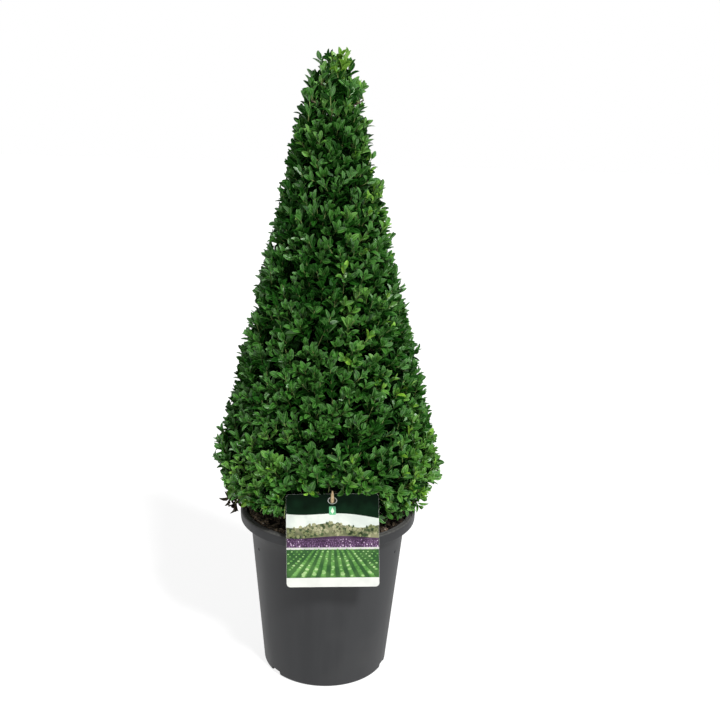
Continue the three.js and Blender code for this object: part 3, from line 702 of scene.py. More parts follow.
def make_soil():
    gap = POT_WALL + GAP
    top = wall_radius(SOIL_EDGE_Z) - gap - 0.3 * MM
    radius = np.linspace(HUB, top, SOIL_RINGS)
    mound = [(0, SOIL_TOP_Z), (SOIL_FLAT_RADIUS, SOIL_TOP_Z), (top * 0.6, SOIL_EDGE_Z + 4 * MM)]
    mound += [(top * 0.88, SOIL_EDGE_Z + 3 * MM), (top, SOIL_EDGE_Z)]
    height = np.interp(radius, *zip(*mound))
    inner_foot = POT_BASE_RADIUS - NOTCH_DEPTH - 1 * MM
    side = [(POT_NECK_RADIUS - gap - 0.3 * MM, POT_NECK_Z)]
    side += [(wall_radius(SOIL_FOOT_Z) - gap - 1 * MM, SOIL_FOOT_Z)]
    side += [(inner_foot, SOIL_FOOT_Z), (inner_foot, gap), (HUB, gap)]
    verts, quads = lathe([*zip(radius, height), *side], SOIL_SEGMENTS)
    r, a = np.hypot(verts[:, 0], verts[:, 1]), np.arctan2(verts[:, 1], verts[:, 0])
    on_top = (verts[:, 2] > SOIL_EDGE_Z - 1 * MM) & (r < top - 1 * MM) & (r > 0.02)
    bumps = np.sin(17 * a + r * 310) * np.sin(r * 420 - 5 * a) + np.sin(31 * a - r * 700) * 0.6
    verts[:, 2] += on_top * (bumps * 0.7 + rng.normal(0, 0.5, len(verts))) * MM
    dress(mesh_object("soil_top", verts, quads[:, ::-1]), soil_material(), "soil", "soil")
    strew_chips(radius, height)


def strew_chips(radius, height):
    """Chips strewn over the soil, and more heaped against the wall in front, close to the rim."""
    top = radius[-1]
    piles = {name: Pile() for name in CHIPS}
    kinds = [name for name, chip in CHIPS.items() for _ in range(chip[0])]
    cube = np.array([(x, y, z) for x in (-1, 1) for y in (-1, 1) for z in (-1, 1)], float)
    sides = np.array([(0, 1, 3, 2), (4, 6, 7, 5), (0, 4, 5, 1), (2, 3, 7, 6), (0, 2, 6, 4), (1, 5, 7, 3)])
    heap_dice = np.random.default_rng(7)
    for i in range(STREWN_CHIPS + HEAPED_CHIPS):
        kind, heaped = kinds[i % len(kinds)], i >= STREWN_CHIPS
        dice = heap_dice if heaped else rng
        angle, distance = dice.uniform(0, 2 * math.pi), 0.02 + (top - 0.026) * math.sqrt(dice.uniform())
        base = np.interp(distance, radius, height)
        if heaped:
            angle, share = math.radians(dice.uniform(*HEAP_TURNS)), dice.uniform()
            base = SOIL_EDGE_Z + HEAP_HEIGHT * share
            inwards = HEAP_CLEAR + dice.uniform(0, HEAP_REACH) * (1 - share)
            distance = wall_radius(base) - POT_WALL - inwards * MM
        shape = cube * CHIPS[kind][1] * dice.uniform(0.5, 1.15) * dice.uniform(0.72, 1, (8, 3)) * MM
        turn = Matrix.Rotation(dice.uniform(0, 6.28), 3, "Z") @ Matrix.Rotation(dice.normal(0, 0.35), 3, "X")
        spot = outwards(angle) * distance + [0, 0, base + 1.2 * MM]
        shape = shape @ np.array(turn).T + spot
        if near_cane(shape, 0.004).any() or math.hypot(*spot[:2]) < 0.022:
            continue
        reach = np.hypot(shape[:, 0], shape[:, 1]).max()
        if heaped:
            limit = wall_radius(shape[:, 2].min()) - POT_WALL - 0.2 * MM
            shape = shape - max(0, reach - limit) * outwards(angle)
        elif reach > top - 0.5 * MM:
            continue
        piles[kind].add(shape, sides)
    for name, pile in piles.items():
        dress(pile.build(name, False), chip_material(name, *CHIPS[name][2:]), "soil")


# Stem and boughs ------------


def limb_mesh(node, path, radii, sides, bark):
    """A round limb with ridged bark, cut flat at both ends."""
    steps, radii = len(path), radii * BARK_INSET
    along = unit(np.gradient(path, axis=0))
    side = unit(np.cross(along[0], [0.2, 1, 0.1]))
    turn = np.arange(sides) * 2 * math.pi / sides
    verts = []
    for s in range(steps):
        side = unit(side - along[s] * (side @ along[s]))
        ridges = 0.5 * np.sin(5 * turn + 9 * s / steps) + 0.3 * np.sin(9 * turn - 14 * s / steps)
        relief = BARK_RELIEF * radii[s] * ridges + rng.normal(0, BARK_RELIEF * 0.25, sides) * radii[s]
        circle = turned(side, np.cross(along[s], side), turn)
        verts.append(path[s] + (radii[s] + relief)[:, None] * circle)
    verts = np.concatenate([*verts, path[:1], path[-1:]])
    foot, end = fan(0, sides, steps * sides)[:, [1, 0, 2]], fan((steps - 1) * sides, sides, steps * sides + 1)
    limb = mesh_object(node + "_bark", verts, ring_quads(steps, sides), np.concatenate([foot, end]))
    dress(limb, bark, "bark", node)


def make_limbs(bark):
    """The stem and the boughs. Returns the stem's path, and each bough's end and direction there."""
    path = through(STEM_POINTS, STEM_STEPS)
    t = np.linspace(0, 1, STEM_STEPS)
    taper = STEM_RADIUS + (STEM_TIP_RADIUS - STEM_RADIUS) * t
    radii = taper + (STEM_FLARE_RADIUS - STEM_RADIUS) * np.exp(-t * 28)
    above = path[:, 2] >= SOIL_TOP_Z + GAP
    limb_mesh("stem", path[above], radii[above], STEM_SIDES, bark)
    forks = []
    for name, (azimuth, fork_z, reach) in BOUGHS.items():
        out = outwards(math.radians(azimuth))
        foot = np.array([axis_x(fork_z), 0, fork_z])
        tip, bend = foot + out * reach, foot + out * reach * 0.55
        tip[2], bend[2] = CORE_BOTTOM_Z + 10 * MM, fork_z + 10 * MM
        curve = bezier(foot[None], bend[None], tip[None], BOUGH_STEPS)[0]
        radii = BOUGH_RADIUS + (BOUGH_TIP_RADIUS - BOUGH_RADIUS) * np.linspace(0, 1, BOUGH_STEPS)
        limb_mesh("bough_" + name, curve, radii, BOUGH_SIDES, bark)
        forks.append((curve[-1], unit(curve[-1] - curve[-3])))
    return path, forks


# Crown ------------


def grow_branches(stem_path, forks):
    """Branches from the stem by the golden angle, and on from the boughs' ends: their paths and radii."""
    foot_z = np.linspace(0.262, 0.792, STEM_BRANCHES)
    start = stem_path[[np.argmin(np.abs(stem_path[:, 2] - z)) for z in foot_z]]
    rise = np.radians(30 + 26 * (foot_z - 0.26) / 0.53 + rng.normal(0, 6, STEM_BRANCHES))
    out = heading_to(np.arange(STEM_BRANCHES) * GOLDEN + 0.4, rise)
    reach = (crown_radius(foot_z + 0.03) - 0.045) * 0.92 / np.maximum(np.cos(rise), 0.35)
    reach = np.clip(reach, 0.012, 0.15)
    fork_start, fork_out = (np.array(column) for column in zip(*forks))
    for spread in (-0.55, 0.1, 0.7):
        swung = fork_out @ np.array(Matrix.Rotation(spread, 3, "Z")).T
        start = np.concatenate([start, fork_start])
        out = np.concatenate([out, unit(swung + [0, 0, 0.25 + 0.2 * abs(spread)])])
        reach = np.concatenate([reach, np.full(len(forks), 0.062)])
    bend = start + out * (reach * 0.5)[:, None] + rng.normal(0, 3 * MM, start.shape)
    end = start + out * reach[:, None] + UP * (reach * 0.12)[:, None]
    radii = np.linspace(2.6, 1.3, BRANCH_STEPS)[None] * MM * np.clip(reach / 0.09, 0.5, 1.1)[:, None]
    return behind_card(bezier(start, bend, end, BRANCH_STEPS)), radii


def spray_roots(count, start):
    """Heights and angles on the outline, spread evenly over it by the golden angle, from the foot up."""
    heights = np.linspace(CROWN_BOTTOM_Z + 1 * MM, CROWN_TOP_Z - 8 * MM, 600)
    weight = crown_radius(heights) + 0.01
    total = np.concatenate([[0], np.cumsum(weight[1:] + weight[:-1])])
    wanted = (np.arange(count) + 0.5) / count * total[-1]
    z = np.interp(wanted, total, heights) + rng.normal(0, 3 * MM, count)
    angle = start + np.arange(count) * GOLDEN + rng.normal(0, 0.05, count)
    return np.clip(z, CROWN_BOTTOM_Z, CROWN_TOP_Z - 6 * MM), angle


def grow_sprays(branch):
    """Sprays: one twig each, from the nearest branch to a hub under the outline."""
    z, angle = np.concatenate([spray_roots(OUTER_SPRAYS, 0.0), spray_roots(INNER_SPRAYS, 1.1)], 1)
    sunk = np.where(np.arange(SPRAYS) < OUTER_SPRAYS, 0.0, rng.uniform(0.022, 0.036, SPRAYS))
    sunk = np.minimum(sunk, crown_radius(z) * 0.4)
    heading = heading_to(angle, climb_at(z) + np.clip(rng.normal(0.04, 0.18, SPRAYS), -0.3, 0.4))
    limit = outline_radius(angle, z)
    rim = np.stack([axis_x(z) + limit * np.cos(angle), limit * np.sin(angle), z], -1)
    depth = rng.uniform(0.04, 0.052, SPRAYS)
    depth = np.minimum(depth + sunk * 0.9, crown_radius(z) * 0.8 + 0.012)
    hub = rim - heading * depth[:, None]
    hub[:, 2] = np.maximum(hub[:, 2], CROWN_BOTTOM_Z + 12 * MM)
    feet = branch[:, 3:].reshape(-1, 3)
    gap = np.linalg.norm(hub[:, None] - feet[None], axis=-1)
    gap = gap + 0.6 * np.maximum(0, feet[None, :, 2] - hub[:, None, 2])
    root = feet[np.argmin(gap, 1)]
    middle = (root + hub) / 2 + rng.normal(0, 3 * MM, hub.shape)
    middle[:, 2] -= 0.12 * np.linalg.norm(hub - root, axis=1)
    path = behind_card(bezier(root, middle, hub, SPRAY_STEPS))
    return Rows(z=z, angle=angle, sunk=sunk, heading=heading, rim=rim, hub=hub, path=path)


def grow_shoots(sprays):
    """Shoots that fan out of the sprays and end at the clipped outline, a little short of it or past it."""
    count = SPRAYS * SHOOTS_PER_SPRAY
    spray = np.repeat(np.arange(SPRAYS), SHOOTS_PER_SPRAY)
    number = np.tile(np.arange(SHOOTS_PER_SPRAY), SPRAYS)
    base = sprays.path[spray, SPRAY_STEPS - 1 - number % 3]
    across = unit(np.cross(sprays.heading, UP))
    above = np.cross(across, sprays.heading)
    swing = number * 2 * math.pi / SHOOTS_PER_SPRAY + rng.uniform(0, 6.28, SPRAYS)[spray]
    wide = np.where(number == 0, 0.06, rng.uniform(0.36, 0.62, count))
    aim = unit(sprays.heading[spray] + wide[:, None] * turned(across[spray], above[spray], swing))
    ahead = rng.normal(-1.5 * MM, 3.2 * MM, count)
    stray = (rng.uniform(size=count) < 0.025) & (sprays.sunk[spray] == 0)
    ahead = np.where(stray, 8 * MM, np.clip(ahead, -9 * MM, 5 * MM)) - sprays.sunk[spray]
    ahead = ahead - 5 * MM * smooth((sprays.z[spray] - 0.825) / 0.02)
    travelled, moving = np.zeros(count), np.ones(count, bool)
    for _ in range(60):
        moving &= outline_room(base + aim * travelled[:, None]) > 0
        travelled += np.where(moving, 1.6 * MM, 0)
    length = np.clip(travelled + ahead - 10 * MM, 0.008, 0.075)
    end = base + aim * length[:, None]
    bow = unit(np.cross(aim, rng.normal(0, 1, aim.shape))) * (length * rng.normal(0, 0.07, count))[:, None]
    middle = (base + end) / 2 + bow - UP * (length * 0.05)[:, None]
    path = bezier(base, middle, end, SHOOT_STEPS)
    seen = np.concatenate([path, (path[:, 1:] + path[:, :-1]) / 2], 1)
    blocked = (card_blocks(seen) | near_cane(seen) | in_pot(seen)).any(1) | over_soil(path[:, -1])
    tone = np.full(count, BY_RULE)
    shoots = Rows(path=path, length=length, aim=aim, spray=spray, stray=stray, tone=tone)
    return join([shoots.pick(~blocked), lone_shoots(sprays)])


def lone_shoots(sprays):
    foot, bend, end = (np.array(column) for column in list(zip(*LONE_SHOOTS))[:3])
    path = bezier(foot * MM, ((foot + end) / 2 + bend) * MM, end * MM, SHOOT_STEPS)
    span = path[:, -1] - path[:, 0]
    apart = np.linalg.norm(sprays.rim[None, :OUTER_SPRAYS] - path[:, None, 0], axis=-1)
    return Rows(
        path=path,
        length=np.linalg.norm(span, axis=1),
        aim=unit(span),
        spray=np.argmin(apart, 1),
        stray=np.ones(len(path), bool),
        tone=np.array([shoot[3] for shoot in LONE_SHOOTS]),
    )


def set_leaves(shoots, sprays):
    """Decussate pairs of leaves, from each shoot's end inwards; the small first pair closes the bud."""
    row = np.arange(len(shoots.path))
    tangent = unit(np.gradient(shoots.path, axis=1))
    seed_side = unit(np.cross(shoots.aim, rng.normal(0, 1, shoots.aim.shape)))
    groups = []
    for rank in range(PAIRS):
        back = LEAF_FOOT + rank * PAIR_GAP * (0.6 + 0.4 * min(1, rank / 2))
        share = 1 - (back + rng.normal(0, 0.6 * MM, len(row))) / shoots.length
        alive = share > (0.02 if rank < 3 else 0.12)
        share = np.clip(share, 0, 1) * (SHOOT_STEPS - 1)
        low = np.clip(share.astype(int), 0, SHOOT_STEPS - 2)
        f = (share - low)[:, None]
        node = shoots.path[row, low] * (1 - f) + shoots.path[row, low + 1] * f
        forward = unit(tangent[row, low] * (1 - f) + tangent[row, low + 1] * f)
        side = unit(seed_side - forward * np.sum(seed_side * forward, -1, keepdims=True))
        for flip in (0, 1):
            turn = (rank % 2) * math.pi / 2 + flip * math.pi + rng.normal(0, 0.22, len(row))
            outward = rotate(side, forward, turn)
            spread = np.radians(PAIR_SPREAD[min(rank, 2)] + rng.normal(0, 11, len(row)))
            pair = Rows(
                origin=node + outward * 0.5 * MM,
                along=unit(turned(forward, outward, spread)),
                upper=forward,
                length=PAIR_LENGTH[min(rank, 2)] * MM * rng.uniform(0.8, 1.15, len(row)),
                shoot=row,
                rank=np.full(len(row), rank),
            )
            groups.append(pair.pick(alive))
    leaves = join(groups)
    # Blades turn a little towards the sky.
    leaves.along = unit(leaves.along + np.array([0, 0, 0.16]))
    tip = leaves.origin + leaves.along * leaves.length[:, None]
    mid = (leaves.origin + tip) / 2
    past = np.where(shoots.stray[leaves.shoot], -12 * MM, -8 * MM)
    bad = outline_room(tip) < np.where(shoots.tone[leaves.shoot] != BY_RULE, -1, past)
    bad |= card_blocks(tip, 0.001, 2.5 * MM) | card_blocks(mid, 0.001) | near_cane(tip) | near_cane(mid)
    bad |= in_pot(tip) | in_pot(mid) | (tip[:, 2] < SOIL_TOP_Z + 2 * MM) | over_soil(tip)
    leaves = leaves.pick(~bad)
    count = len(leaves.rank)
    leaves.spray, leaves.tone = shoots.spray[leaves.shoot], shoots.tone[leaves.shoot]
    # Leaves deep inside are larger, so that fewer of them fill it.
    middle = leaves.origin + leaves.along * leaves.length[:, None] * 0.5
    sunk, z = sprays.sunk[leaves.spray], sprays.z[leaves.spray]
    leaves.inside = (sunk > 0) & (outline_room(middle) > 17 * MM) & (z < 0.8)
    leaves.length = leaves.length * np.where(leaves.inside, 1.3, 1.0)
    leaves.width = leaves.length * rng.uniform(0.39, 0.5, count) * np.where(leaves.inside, 1.2, 1.0)
    leaves.cup = rng.uniform(0.18, 0.5, count)
    leaves.curl = rng.uniform(-0.1, 0.34, count)
    leaves.twist = rng.normal(0, 0.34, count)
    return leaves


def colour_leaves(leaves, sprays):
    """Deals the leaves into colour groups by spray, and shapes the young and the dry ones. A spray's group
    follows a random tone plus painted light: lighter on the side towards the key light, higher up and near
    the foot, a little darker on the left.
    """
    z, angle = sprays.z[leaves.spray], sprays.angle[leaves.spray]
    facing = np.cos(angle + math.radians(10))
    left = 0.12 * smooth((z - 0.33) / 0.06) - 0.45 * smooth((0.4 - z) / 0.05)
    side = np.where(facing > 0, 0.66, left) * facing
    # Painted light: sprays that face the key light, stand high or sit near the foot are dealt lighter groups,
    # and those on the left a little darker.
    painted_light = 0.13 + side + 1.0 * (z - 0.54) + 0.85 * smooth((0.42 - z) / 0.09)
    tone_and_light = rng.normal(0, 0.55, SPRAYS)[leaves.spray] + painted_light
    group = np.where(tone_and_light > 1.0, FRESH, np.where(tone_and_light > -0.45, MID, DEEP))
    share_young = np.where(tone_and_light > 1.5, 0.45, np.where(tone_and_light > 0.9, 0.12, 0.0))
    share_young = share_young * smooth(0.2 + 1.6 * np.maximum(facing, z < 0.34))
    young = (leaves.rank <= 1) & (rng.uniform(size=len(z)) < share_young)
    group = np.where(young, YOUNG, group)
    # Leaves further down the shoots get darker groups, painted shade, and sooner so where the light would
    # thin out the gaps.
    depth = leaves.rank + ((z > 0.6) | (np.cos(angle) > 0.45))
    group = np.where((depth >= 3) & (group > DEEP) & (group < YOUNG), group - 1, group)
    group = np.where(depth >= 4, DEEP, group)
    # Leaves deep inside take the near-black group: painted shade.
    group = np.where(leaves.inside, INNER_SHADE, group)
    leaves.group = np.where(leaves.tone != BY_RULE, leaves.tone, group)
    large = np.where(leaves.tone == YOUNG, 1.25, 1.0)
    dry = leaves.group == DRY
    leaves.length = leaves.length * large
    leaves.width = leaves.width * large * large * np.where(dry, 0.7, 1.0)
    leaves.curl = np.where(dry, rng.uniform(0.3, 0.9, len(z)), leaves.curl)
    leaves.cup = np.where(dry, leaves.cup + 0.3, leaves.cup)


def leaf_template():
    """A blade in two halves that meet at the midrib: (along, across share, half width share), and faces."""
    rows, faces = [], []
    for sign in (-1, 1):
        foot = len(rows)
        rows.append((0.0, 0.0, 0.0))
        for t, w in BLADE:
            rows += [(t, 0.0, 0.0), (t, sign * w, w)]
        rows.append((1.0, 0.0, 0.0))
        tip = len(rows) - 1
        half = [(foot, foot + 1, foot + 2), (tip - 2, tip, tip - 1)]
        for rib in range(foot + 1, tip - 2, 2):
            half += [(rib, rib + 2, rib + 3), (rib, rib + 3, rib + 1)]
        faces += half if sign < 0 else [face[::-1] for face in half]
    return np.array(rows), np.array(faces)


def place_leaves(template, leaves):
    """Blades from one template, turned and sized each on its own, by leaf."""
    t, s, w = template.T
    side = unit(np.cross(leaves.along, leaves.upper))
    twisted = turned(side, np.cross(side, leaves.along), leaves.twist)
    face = np.cross(twisted, leaves.along)
    forward = t[None] * leaves.length[:, None]
    across = s[None] * (leaves.width / 2)[:, None]
    cup, curl = leaves.cup * leaves.width, leaves.curl * leaves.length
    lift = cup[:, None] * w[None] ** 1.3 - curl[:, None] * (t[None] - 0.25) ** 2
    verts = leaves.origin[:, None] + forward[..., None] * leaves.along[:, None]
    return verts + across[..., None] * twisted[:, None] + lift[..., None] * face[:, None]


def build_leaves(leaves, tiers):
    """A piece for each tier and colour group, without the leaves that would touch the card or the pot."""
    rows, triangles = leaf_template()
    uv = np.stack([0.5 + 0.5 * np.sign(rows[:, 1]) * (rows[:, 2] > 0), rows[:, 0]], -1)
    greens = {name: leaf_material("leaf_" + name, *tones) for name, tones in PALETTE.items()}
    for tier, tier_name in enumerate(TIER_TOPS):
        for group, group_name in enumerate(PALETTE):
            picked = leaves.pick((tiers == tier) & (leaves.group == group))
            if not len(picked.length):
                continue
            verts = place_leaves(rows, picked)
            verts = verts[~(card_blocks(verts, 0.3 * MM) | in_pot(verts, 0.3 * MM)).any(1)]
            faces = triangles[None] + (np.arange(len(verts)) * len(rows))[:, None, None]
            name, uvs = "leaves_" + tier_name + "_" + group_name, np.tile(uv, (len(verts), 1))
            piece = mesh_object(name, verts.reshape(-1, 3), faces.reshape(-1, 3), uv=uvs)
            dress(piece, greens[group_name], "foliage")


def make_crown(stem_path, forks):
    wood, twigs = ({name: Pile() for name in TIER_TOPS} for _ in range(2))
    branch, radii = grow_branches(stem_path, forks)
    deal(wood, tier_of(branch[:, -1, 2]), *tubes(branch, radii, BRANCH_SIDES))
    sprays = grow_sprays(branch)
    radii = np.linspace(1.35, 0.9, SPRAY_STEPS)[None] * MM * np.ones((SPRAYS, 1))
    deal(wood, tier_of(sprays.hub[:, 2]), *tubes(sprays.path, radii, SPRAY_SIDES))
    shoots = grow_shoots(sprays)
    tiers = tier_of(shoots.path[:, -1, 2])
    radii = np.linspace(0.85, 0.5, SHOOT_STEPS)[None] * MM * np.ones((len(tiers), 1))
    deal(twigs, tiers, *tubes(shoots.path, radii, SHOOT_SIDES))
    leaves = set_leaves(shoots, sprays)
    colour_leaves(leaves, sprays)
    build_leaves(leaves, tiers[leaves.shoot])
    greens, browns = ((0.13, 0.17, 0.045), (0.2, 0.27, 0.08)), ((0.05, 0.036, 0.025), (0.14, 0.105, 0.068))
    green = grained("twig", *greens, (55, 3, 0.5), 0.6, (0.3, 0.0003), (900, 2), span=(0.4, 0.62))
    brown = grained("branch", *browns, (120, 3, 0.5, (1, 1, 0.4)), 0.85, (0.5, 0.0008))
    for name in TIER_TOPS:
        dress(twigs[name].build("twigs_" + name), green, "foliage", "foliage_" + name)
        dress(wood[name].build("branches_" + name), brown, "bark")


# Label ------------


def plate(name, points, holes, bottom, top, material, *nodes):
    """A flat plate in the card's frame, with holes, between two heights above the card's back."""
    curve = bpy.data.curves.new(name, "CURVE")
    curve.dimensions = "2D"
    curve.fill_mode = "BOTH"
    curve.extrude = (top - bottom) / 2
    for loop in [points, *holes]:
        spline = curve.splines.new("POLY")
        spline.points.add(len(loop) - 1)
        for point, (x, y) in zip(spline.points, loop):
            point.co = (x, y, 0, 1)
        spline.use_cyclic_u = True
    thing = link(name, curve)
    bpy.context.view_layer.update()
    mesh = bpy.data.meshes.new_from_object(thing.evaluated_get(bpy.context.evaluated_depsgraph_get()))
    bpy.data.objects.remove(thing)
    mesh.transform(CARD @ Matrix.Translation((0, 0, (top + bottom) / 2)))
    mesh.name = name
    for p in mesh.polygons:
        p.use_smooth = False
    dress(link(name, mesh), material, "card", *nodes)


def rounded(x0, y0, x1, y1, r):
    loop = arc(x1 - r, y0 + r, r, -90, 0) + arc(x1 - r, y1 - r, r, 0, 90)
    return loop + arc(x0 + r, y1 - r, r, 90, 180) + arc(x0 + r, y0 + r, r, 180, 270)


def oval(wide, high):
    """A loop round the card's hole."""
    around = np.linspace(0, 2 * math.pi, 28, endpoint=False)
    return [(wide * math.cos(a), CARD_HEIGHT - HOLE_BELOW + high * math.sin(a)) for a in around]


def edge(x, share, swing=0.0, pitch=1.0, phase=0.0, tilt=0.0):
    """The height of a printed edge at x: a share of the card's height, with a wave and a tilt."""
    return CARD_HEIGHT * (share + swing * math.sin(x / pitch + phase)) + tilt * x


def top_edge(x):
    over = max(0, abs(x) - (CARD_WIDTH / 2 - CARD_CORNER))
    return PRINT_TOP - (CARD_CORNER - math.sqrt(max(0, CARD_CORNER**2 - over**2)))


def printed(name, loop, rise, color, light=None, gloss=0.16, sunk=0.02, holes=()):
    """A printed field that stands out of the card's face by rise, in mm. Its ink's name has no number."""
    ink = print_material("ink_" + name.rstrip("_0123456789"), color, light, gloss)
    plate("label_print_" + name, loop, holes, FACE - sunk * MM, FACE + rise * MM, ink)


def band(name, lower, upper, *look):
    """A printed field over the whole width, between two edges."""
    loop = [(x, edge(x, *lower)) for x in PRINT_XS] + [(x, edge(x, *upper)) for x in PRINT_XS[::-1]]
    printed(name, loop, *look)


def blobs(name, spots, sides, rise, color, light):
    """Small printed ovals: (x, y, half width, half height, turn) for each, kept off the card's edge."""
    fits = [max(wide, high) for _, _, wide, high, _ in spots]
    foot = CARD_HEIGHT * FIELD_FOOT
    spots = [q for q, far in zip(spots, fits) if abs(q[0]) + far < PRINT_SIDE and q[1] - far > foot]
    x, y, wide, high, turn = (np.array(v)[:, None] for v in zip(*spots))
    around = np.arange(sides) * 2 * math.pi / sides
    u, v = wide * np.cos(around), high * np.sin(around)
    flat = np.stack([x + u * np.cos(turn) - v * np.sin(turn), y + u * np.sin(turn) + v * np.cos(turn)], -1)
    heights = (FACE - 0.02 * MM, FACE + rise * MM)
    rings = [np.concatenate([flat, np.full(flat.shape[:2] + (1,), z)], -1) for z in heights]
    verts = np.concatenate(rings, 1).reshape(-1, 3) @ CARD_ARRAY[:3, :3].T + CARD_ARRAY[:3, 3]
    start = (np.arange(len(spots)) * 2 * sides)[:, None, None]
    j = np.arange(sides)
    caps = (np.stack([j[::-1], j + sides])[None] + start).reshape(-1, sides)
    walls = (ring_quads(2, sides)[None] + start).reshape(-1, 4)
    made = mesh_object("label_print_" + name, verts, walls, caps, smooth_faces=False)
    dress(made, print_material("ink_" + name, color, light), "card")


def print_trees(inks):
    for name, rise, color, light in (
        ("trees_dark", 0.036, (0.03, 0.05, 0.02), (0.07, 0.1, 0.04)),
        ("trees_pale", 0.048, (0.16, 0.18, 0.08), (0.34, 0.33, 0.2)),
    ):
        crowns = []
        for x in inks.uniform(-PRINT_SIDE, PRINT_SIDE, 80):
            y = edge(x, *HILLS) - inks.uniform(-1, 14) * MM
            crowns.append((x, y, inks.uniform(1.4, 3.2) * MM, inks.uniform(1.4, 3) * MM, 0))
        blobs(name, crowns, 10, rise, color, light)


def print_flowers(inks):
    for name, chance, rise, color, light in (
        ("heads_lilac", 0.85, 0.072, (0.1, 0.05, 0.115), (0.19, 0.11, 0.21)),
        ("heads_pink", 0.14, 0.084, (0.36, 0.24, 0.38), (0.5, 0.4, 0.5)),
    ):
        heads = []
        for row in range(5):
            y, size = CARD_HEIGHT * (0.51 - 0.019 * row), (0.6 + 0.14 * row) * MM
            for x in np.arange(-PRINT_SIDE, PRINT_SIDE, size * 3.1):
                if inks.uniform() < chance:
                    place = (x + inks.normal(0, 0.3) * MM, y + inks.normal(0, 0.4) * MM)
                    heads.append((*place, size, size * 1.1, 0))
        blobs(name, heads, 6, rise, color, light)


def print_rows(inks):
    """Planted rows that run away from the viewer, with tufts along them."""
    tufts = {"green": [], "pale": []}
    low, high = CARD_HEIGHT * FIELD_FOOT, CARD_HEIGHT * FIELD_TOP
    for row in range(-9, 10):
        foot, end = row * 13.5 * MM, row * 6.2 * MM
        loop = [(foot - 3.6 * MM, low), (foot + 3.6 * MM, low)]
        loop += [(end + 1.5 * MM, high), (end - 1.5 * MM, high)]
        if abs(foot) < PRINT_SIDE - 4 * MM:
            printed("row_%d" % (row + 9), loop, 0.108, (0.05, 0.15, 0.03), (0.09, 0.22, 0.05))
        for step in np.linspace(0, 1, 15) ** 1.25:
            size = (2.7 - 1.7 * step) * MM * inks.uniform(0.75, 1.2)
            tone = "pale" if inks.uniform() < 0.45 else "green"
            x, y = foot + (end - foot) * step, low + (high - low) * step + size * 0.4
            tufts[tone].append((x + inks.normal(0, 0.5) * MM, y, size, size * 0.62, inks.normal(0, 0.2)))
    blobs("tufts_green", tufts["green"], 9, 0.12, (0.08, 0.22, 0.045), (0.15, 0.33, 0.09))
    blobs("tufts_pale", tufts["pale"], 9, 0.132, (0.2, 0.38, 0.12), (0.34, 0.5, 0.22))


def make_label():
    """The card, and its print from the top down and then from the back to the front."""
    inks = np.random.default_rng(5)
    white = print_material("card_white", (0.57, 0.58, 0.54), (0.61, 0.62, 0.58))
    side, h = CARD_WIDTH / 2, CARD_HEIGHT
    wide, high, rim = HOLE_WIDTH / 2 - 1.2 * MM, HOLE_HEIGHT / 2 - 0.5 * MM, 1.1 * MM
    sheet = rounded(-side, 0, side, h, CARD_CORNER)
    plate("label_card_sheet", sheet, [oval(wide, high)], 0, FACE, white, "label_card")
    # The dark field at the top leaves the hole a white rim.
    loop = [(x, edge(x, *SLOPE)) for x in PRINT_XS] + [(x, top_edge(x)) for x in PRINT_XS[::-1]]
    hole = oval(wide + rim, high + rim * 0.7)
    printed("top", loop, 0.05, (0.001, 0.01, 0.003), (0.002, 0.014, 0.005), 0.06, holes=[hole])
    band("sky", (0.56,), SLOPE, 0.012, (0.5, 0.54, 0.5), (0.6, 0.64, 0.58))
    band("hills", (0.5,), HILLS, 0.024, (0.09, 0.1, 0.05), (0.2, 0.2, 0.11))
    print_trees(inks)
    band("bed", (0.42,), BED, 0.06, (0.03, 0.013, 0.034), (0.065, 0.034, 0.07))
    print_flowers(inks)
    band("path", (0.4,), (0.425,), 0.084, (0.42, 0.43, 0.4), (0.52, 0.53, 0.49))
    band("field", (FIELD_FOOT,), (FIELD_TOP,), 0.096, (0.02, 0.07, 0.018), (0.045, 0.12, 0.03))
    print_rows(inks)
    # A pale block with a small leaf under the hole.
    block = rounded(-4.5 * MM, h * 0.775, 4.5 * MM, h * 0.865, 0.8 * MM)
    printed("block", block, 0.09, (0.1, 0.35, 0.17), sunk=0)
    leaf = [(0, h * 0.785), (2.4 * MM, h * 0.815), (0, h * 0.856), (-2.4 * MM, h * 0.815)]
    printed("leaf", leaf, 0.12, (0.6, 0.75, 0.55), sunk=0)


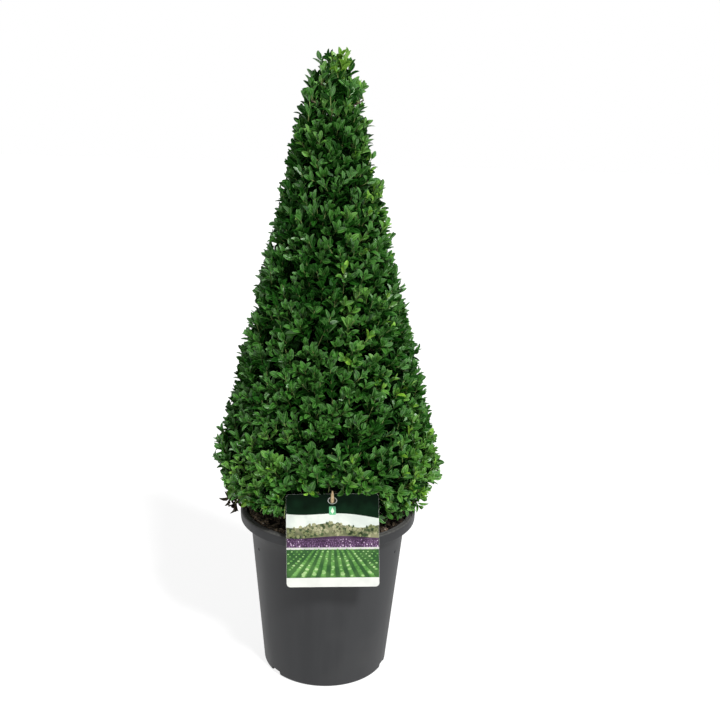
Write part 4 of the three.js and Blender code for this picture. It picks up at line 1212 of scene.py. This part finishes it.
def make_cane():
    """A split cane: half round behind, flat in front, cut to a slanting point."""
    direction = Vector(CANE_DIRECTION)
    front = Vector((0, -math.cos(CANE_LEAN), -math.sin(CANE_LEAN)))
    right, hole = front.cross(direction), Vector(CANE_HOLE)
    below = (hole.z - (SOIL_EDGE_Z - CANE_SUNK)) / direction.z
    length, back = below + CANE_ABOVE, -CANE_THICKNESS / 2
    turn = np.linspace(0, math.pi, 15)
    wide, thick = CANE_WIDTH / 2 * 0.97, CANE_THICKNESS * 0.97
    section = np.stack([wide * np.cos(turn), back + thick * np.sin(turn)], -1)
    cut = length - CANE_POINT * np.linspace(0.9, 0.0, 8)
    levels = np.concatenate([np.linspace(0, length - CANE_POINT, 30), cut])
    verts, n = [], len(section)
    for level in levels:
        over = max(0, (level - (length - CANE_POINT)) / CANE_POINT)
        ring = section.copy()
        ring[:, 1] = np.minimum(ring[:, 1], back + CANE_THICKNESS * (1 - 0.86 * over))
        ring[:, 0] *= 1 - 0.75 * over**1.5
        ring = ring + rng.normal(0, 0.02 * MM, ring.shape)
        verts += [tuple(hole + direction * (level - below) + right * x + front * y) for x, y in ring]
    ends = np.stack([np.arange(n)[::-1], (len(levels) - 1) * n + np.arange(n)])
    cane = mesh_object("cane_body", np.array(verts), ring_quads(len(levels), n), ends)
    cane.data.set_sharp_from_angle(angle=math.radians(40))
    pale, paler, fibres = (0.52, 0.35, 0.17), (0.8, 0.62, 0.37), (900, 3, 0.6, (1, 1, 0.05))
    dress(cane, grained("cane", pale, paler, fibres, 0.62, (0.4, 0.0005)), "cane", "label_cane")


# Stage ------------


def make_floor():
    s = Shader("floor_paint")
    tone = s.mix(s.noise(3, 2), (0.24, 0.24, 0.24), (0.26, 0.26, 0.26))
    glow = {"Emission Color": (1.0, 1.0, 1.0), "Emission Strength": 0.84}
    corners = np.array([(-30, -30, 0), (30, -30, 0), (30, 30, 0), (-30, 30, 0)], float)
    floor = mesh_object("floor", corners, np.array([(0, 1, 2, 3)]), smooth_faces=False)
    floor.location.z = -0.0004
    floor.data.materials.append(s.finish(tone, 0.9, None, 0.1, **glow))


def lamp(name, kind, place, aim, size, power):
    data = bpy.data.lights.new(name, kind)
    data.energy = power
    if kind == "SUN":
        data.angle = math.radians(size)
    else:
        data.shape, data.size = "DISK", size
    made = link(name, data)
    made.location = place
    made.rotation_euler = (Vector(aim) - Vector(place)).to_track_quat("-Z", "Y").to_euler()


def studio_world():
    """A bright backdrop behind the plant and a dimmer room in front of it."""
    s = Shader("studio", world=True)
    way = s.split(s.place("Generated"))
    behind, below = s.ramp(way["Y"], 0.5, 0.88, 0.25, 1.0), s.ramp(way["Z"], 0.2, 0.3, 1.0, 0.25)
    return s.show(s.node("Background", {"Color": (1, 1, 1), "Strength": s.math("MAXIMUM", behind, below)}))


def make_camera():
    """The photo's camera, with its focal length in pixels of the 720 pixel frame."""
    place = Vector((0.0268, -1.2396, 0.7626))
    pitch, yaw, roll, focal = math.radians(13.58), math.radians(0.63), math.radians(1.72), 900
    forward = Vector((math.sin(yaw) * math.cos(pitch), math.cos(yaw) * math.cos(pitch), -math.sin(pitch)))
    level = Vector((math.cos(yaw), -math.sin(yaw), 0))
    rise = level.cross(forward)
    right = level * math.cos(roll) + rise * math.sin(roll)
    up = rise * math.cos(roll) - level * math.sin(roll)
    data = bpy.data.cameras.new("camera")
    data.sensor_width = 36
    data.lens = focal / 720 * 36
    camera = link("camera", data)
    camera.matrix_world = Matrix.Translation(place) @ Matrix((right, up, -forward)).transposed().to_4x4()
    return camera


# Assembly ------------

bark = bark_material()
make_pot()
make_pin_marks()
make_soil()
make_crown(*make_limbs(bark))
make_label()
make_cane()
make_floor()
lamp("key", "SUN", (0.95, -1.5, 2.3), (0, 0, 0.45), 9, 3.8)
lamp("sheen", "AREA", (-1.3, -1.6, 1.7), (0, 0, 0.45), 0.5, 3)
scene = bpy.context.scene
scene.world, scene.camera = studio_world(), make_camera()
scene.view_settings.view_transform = "Standard"
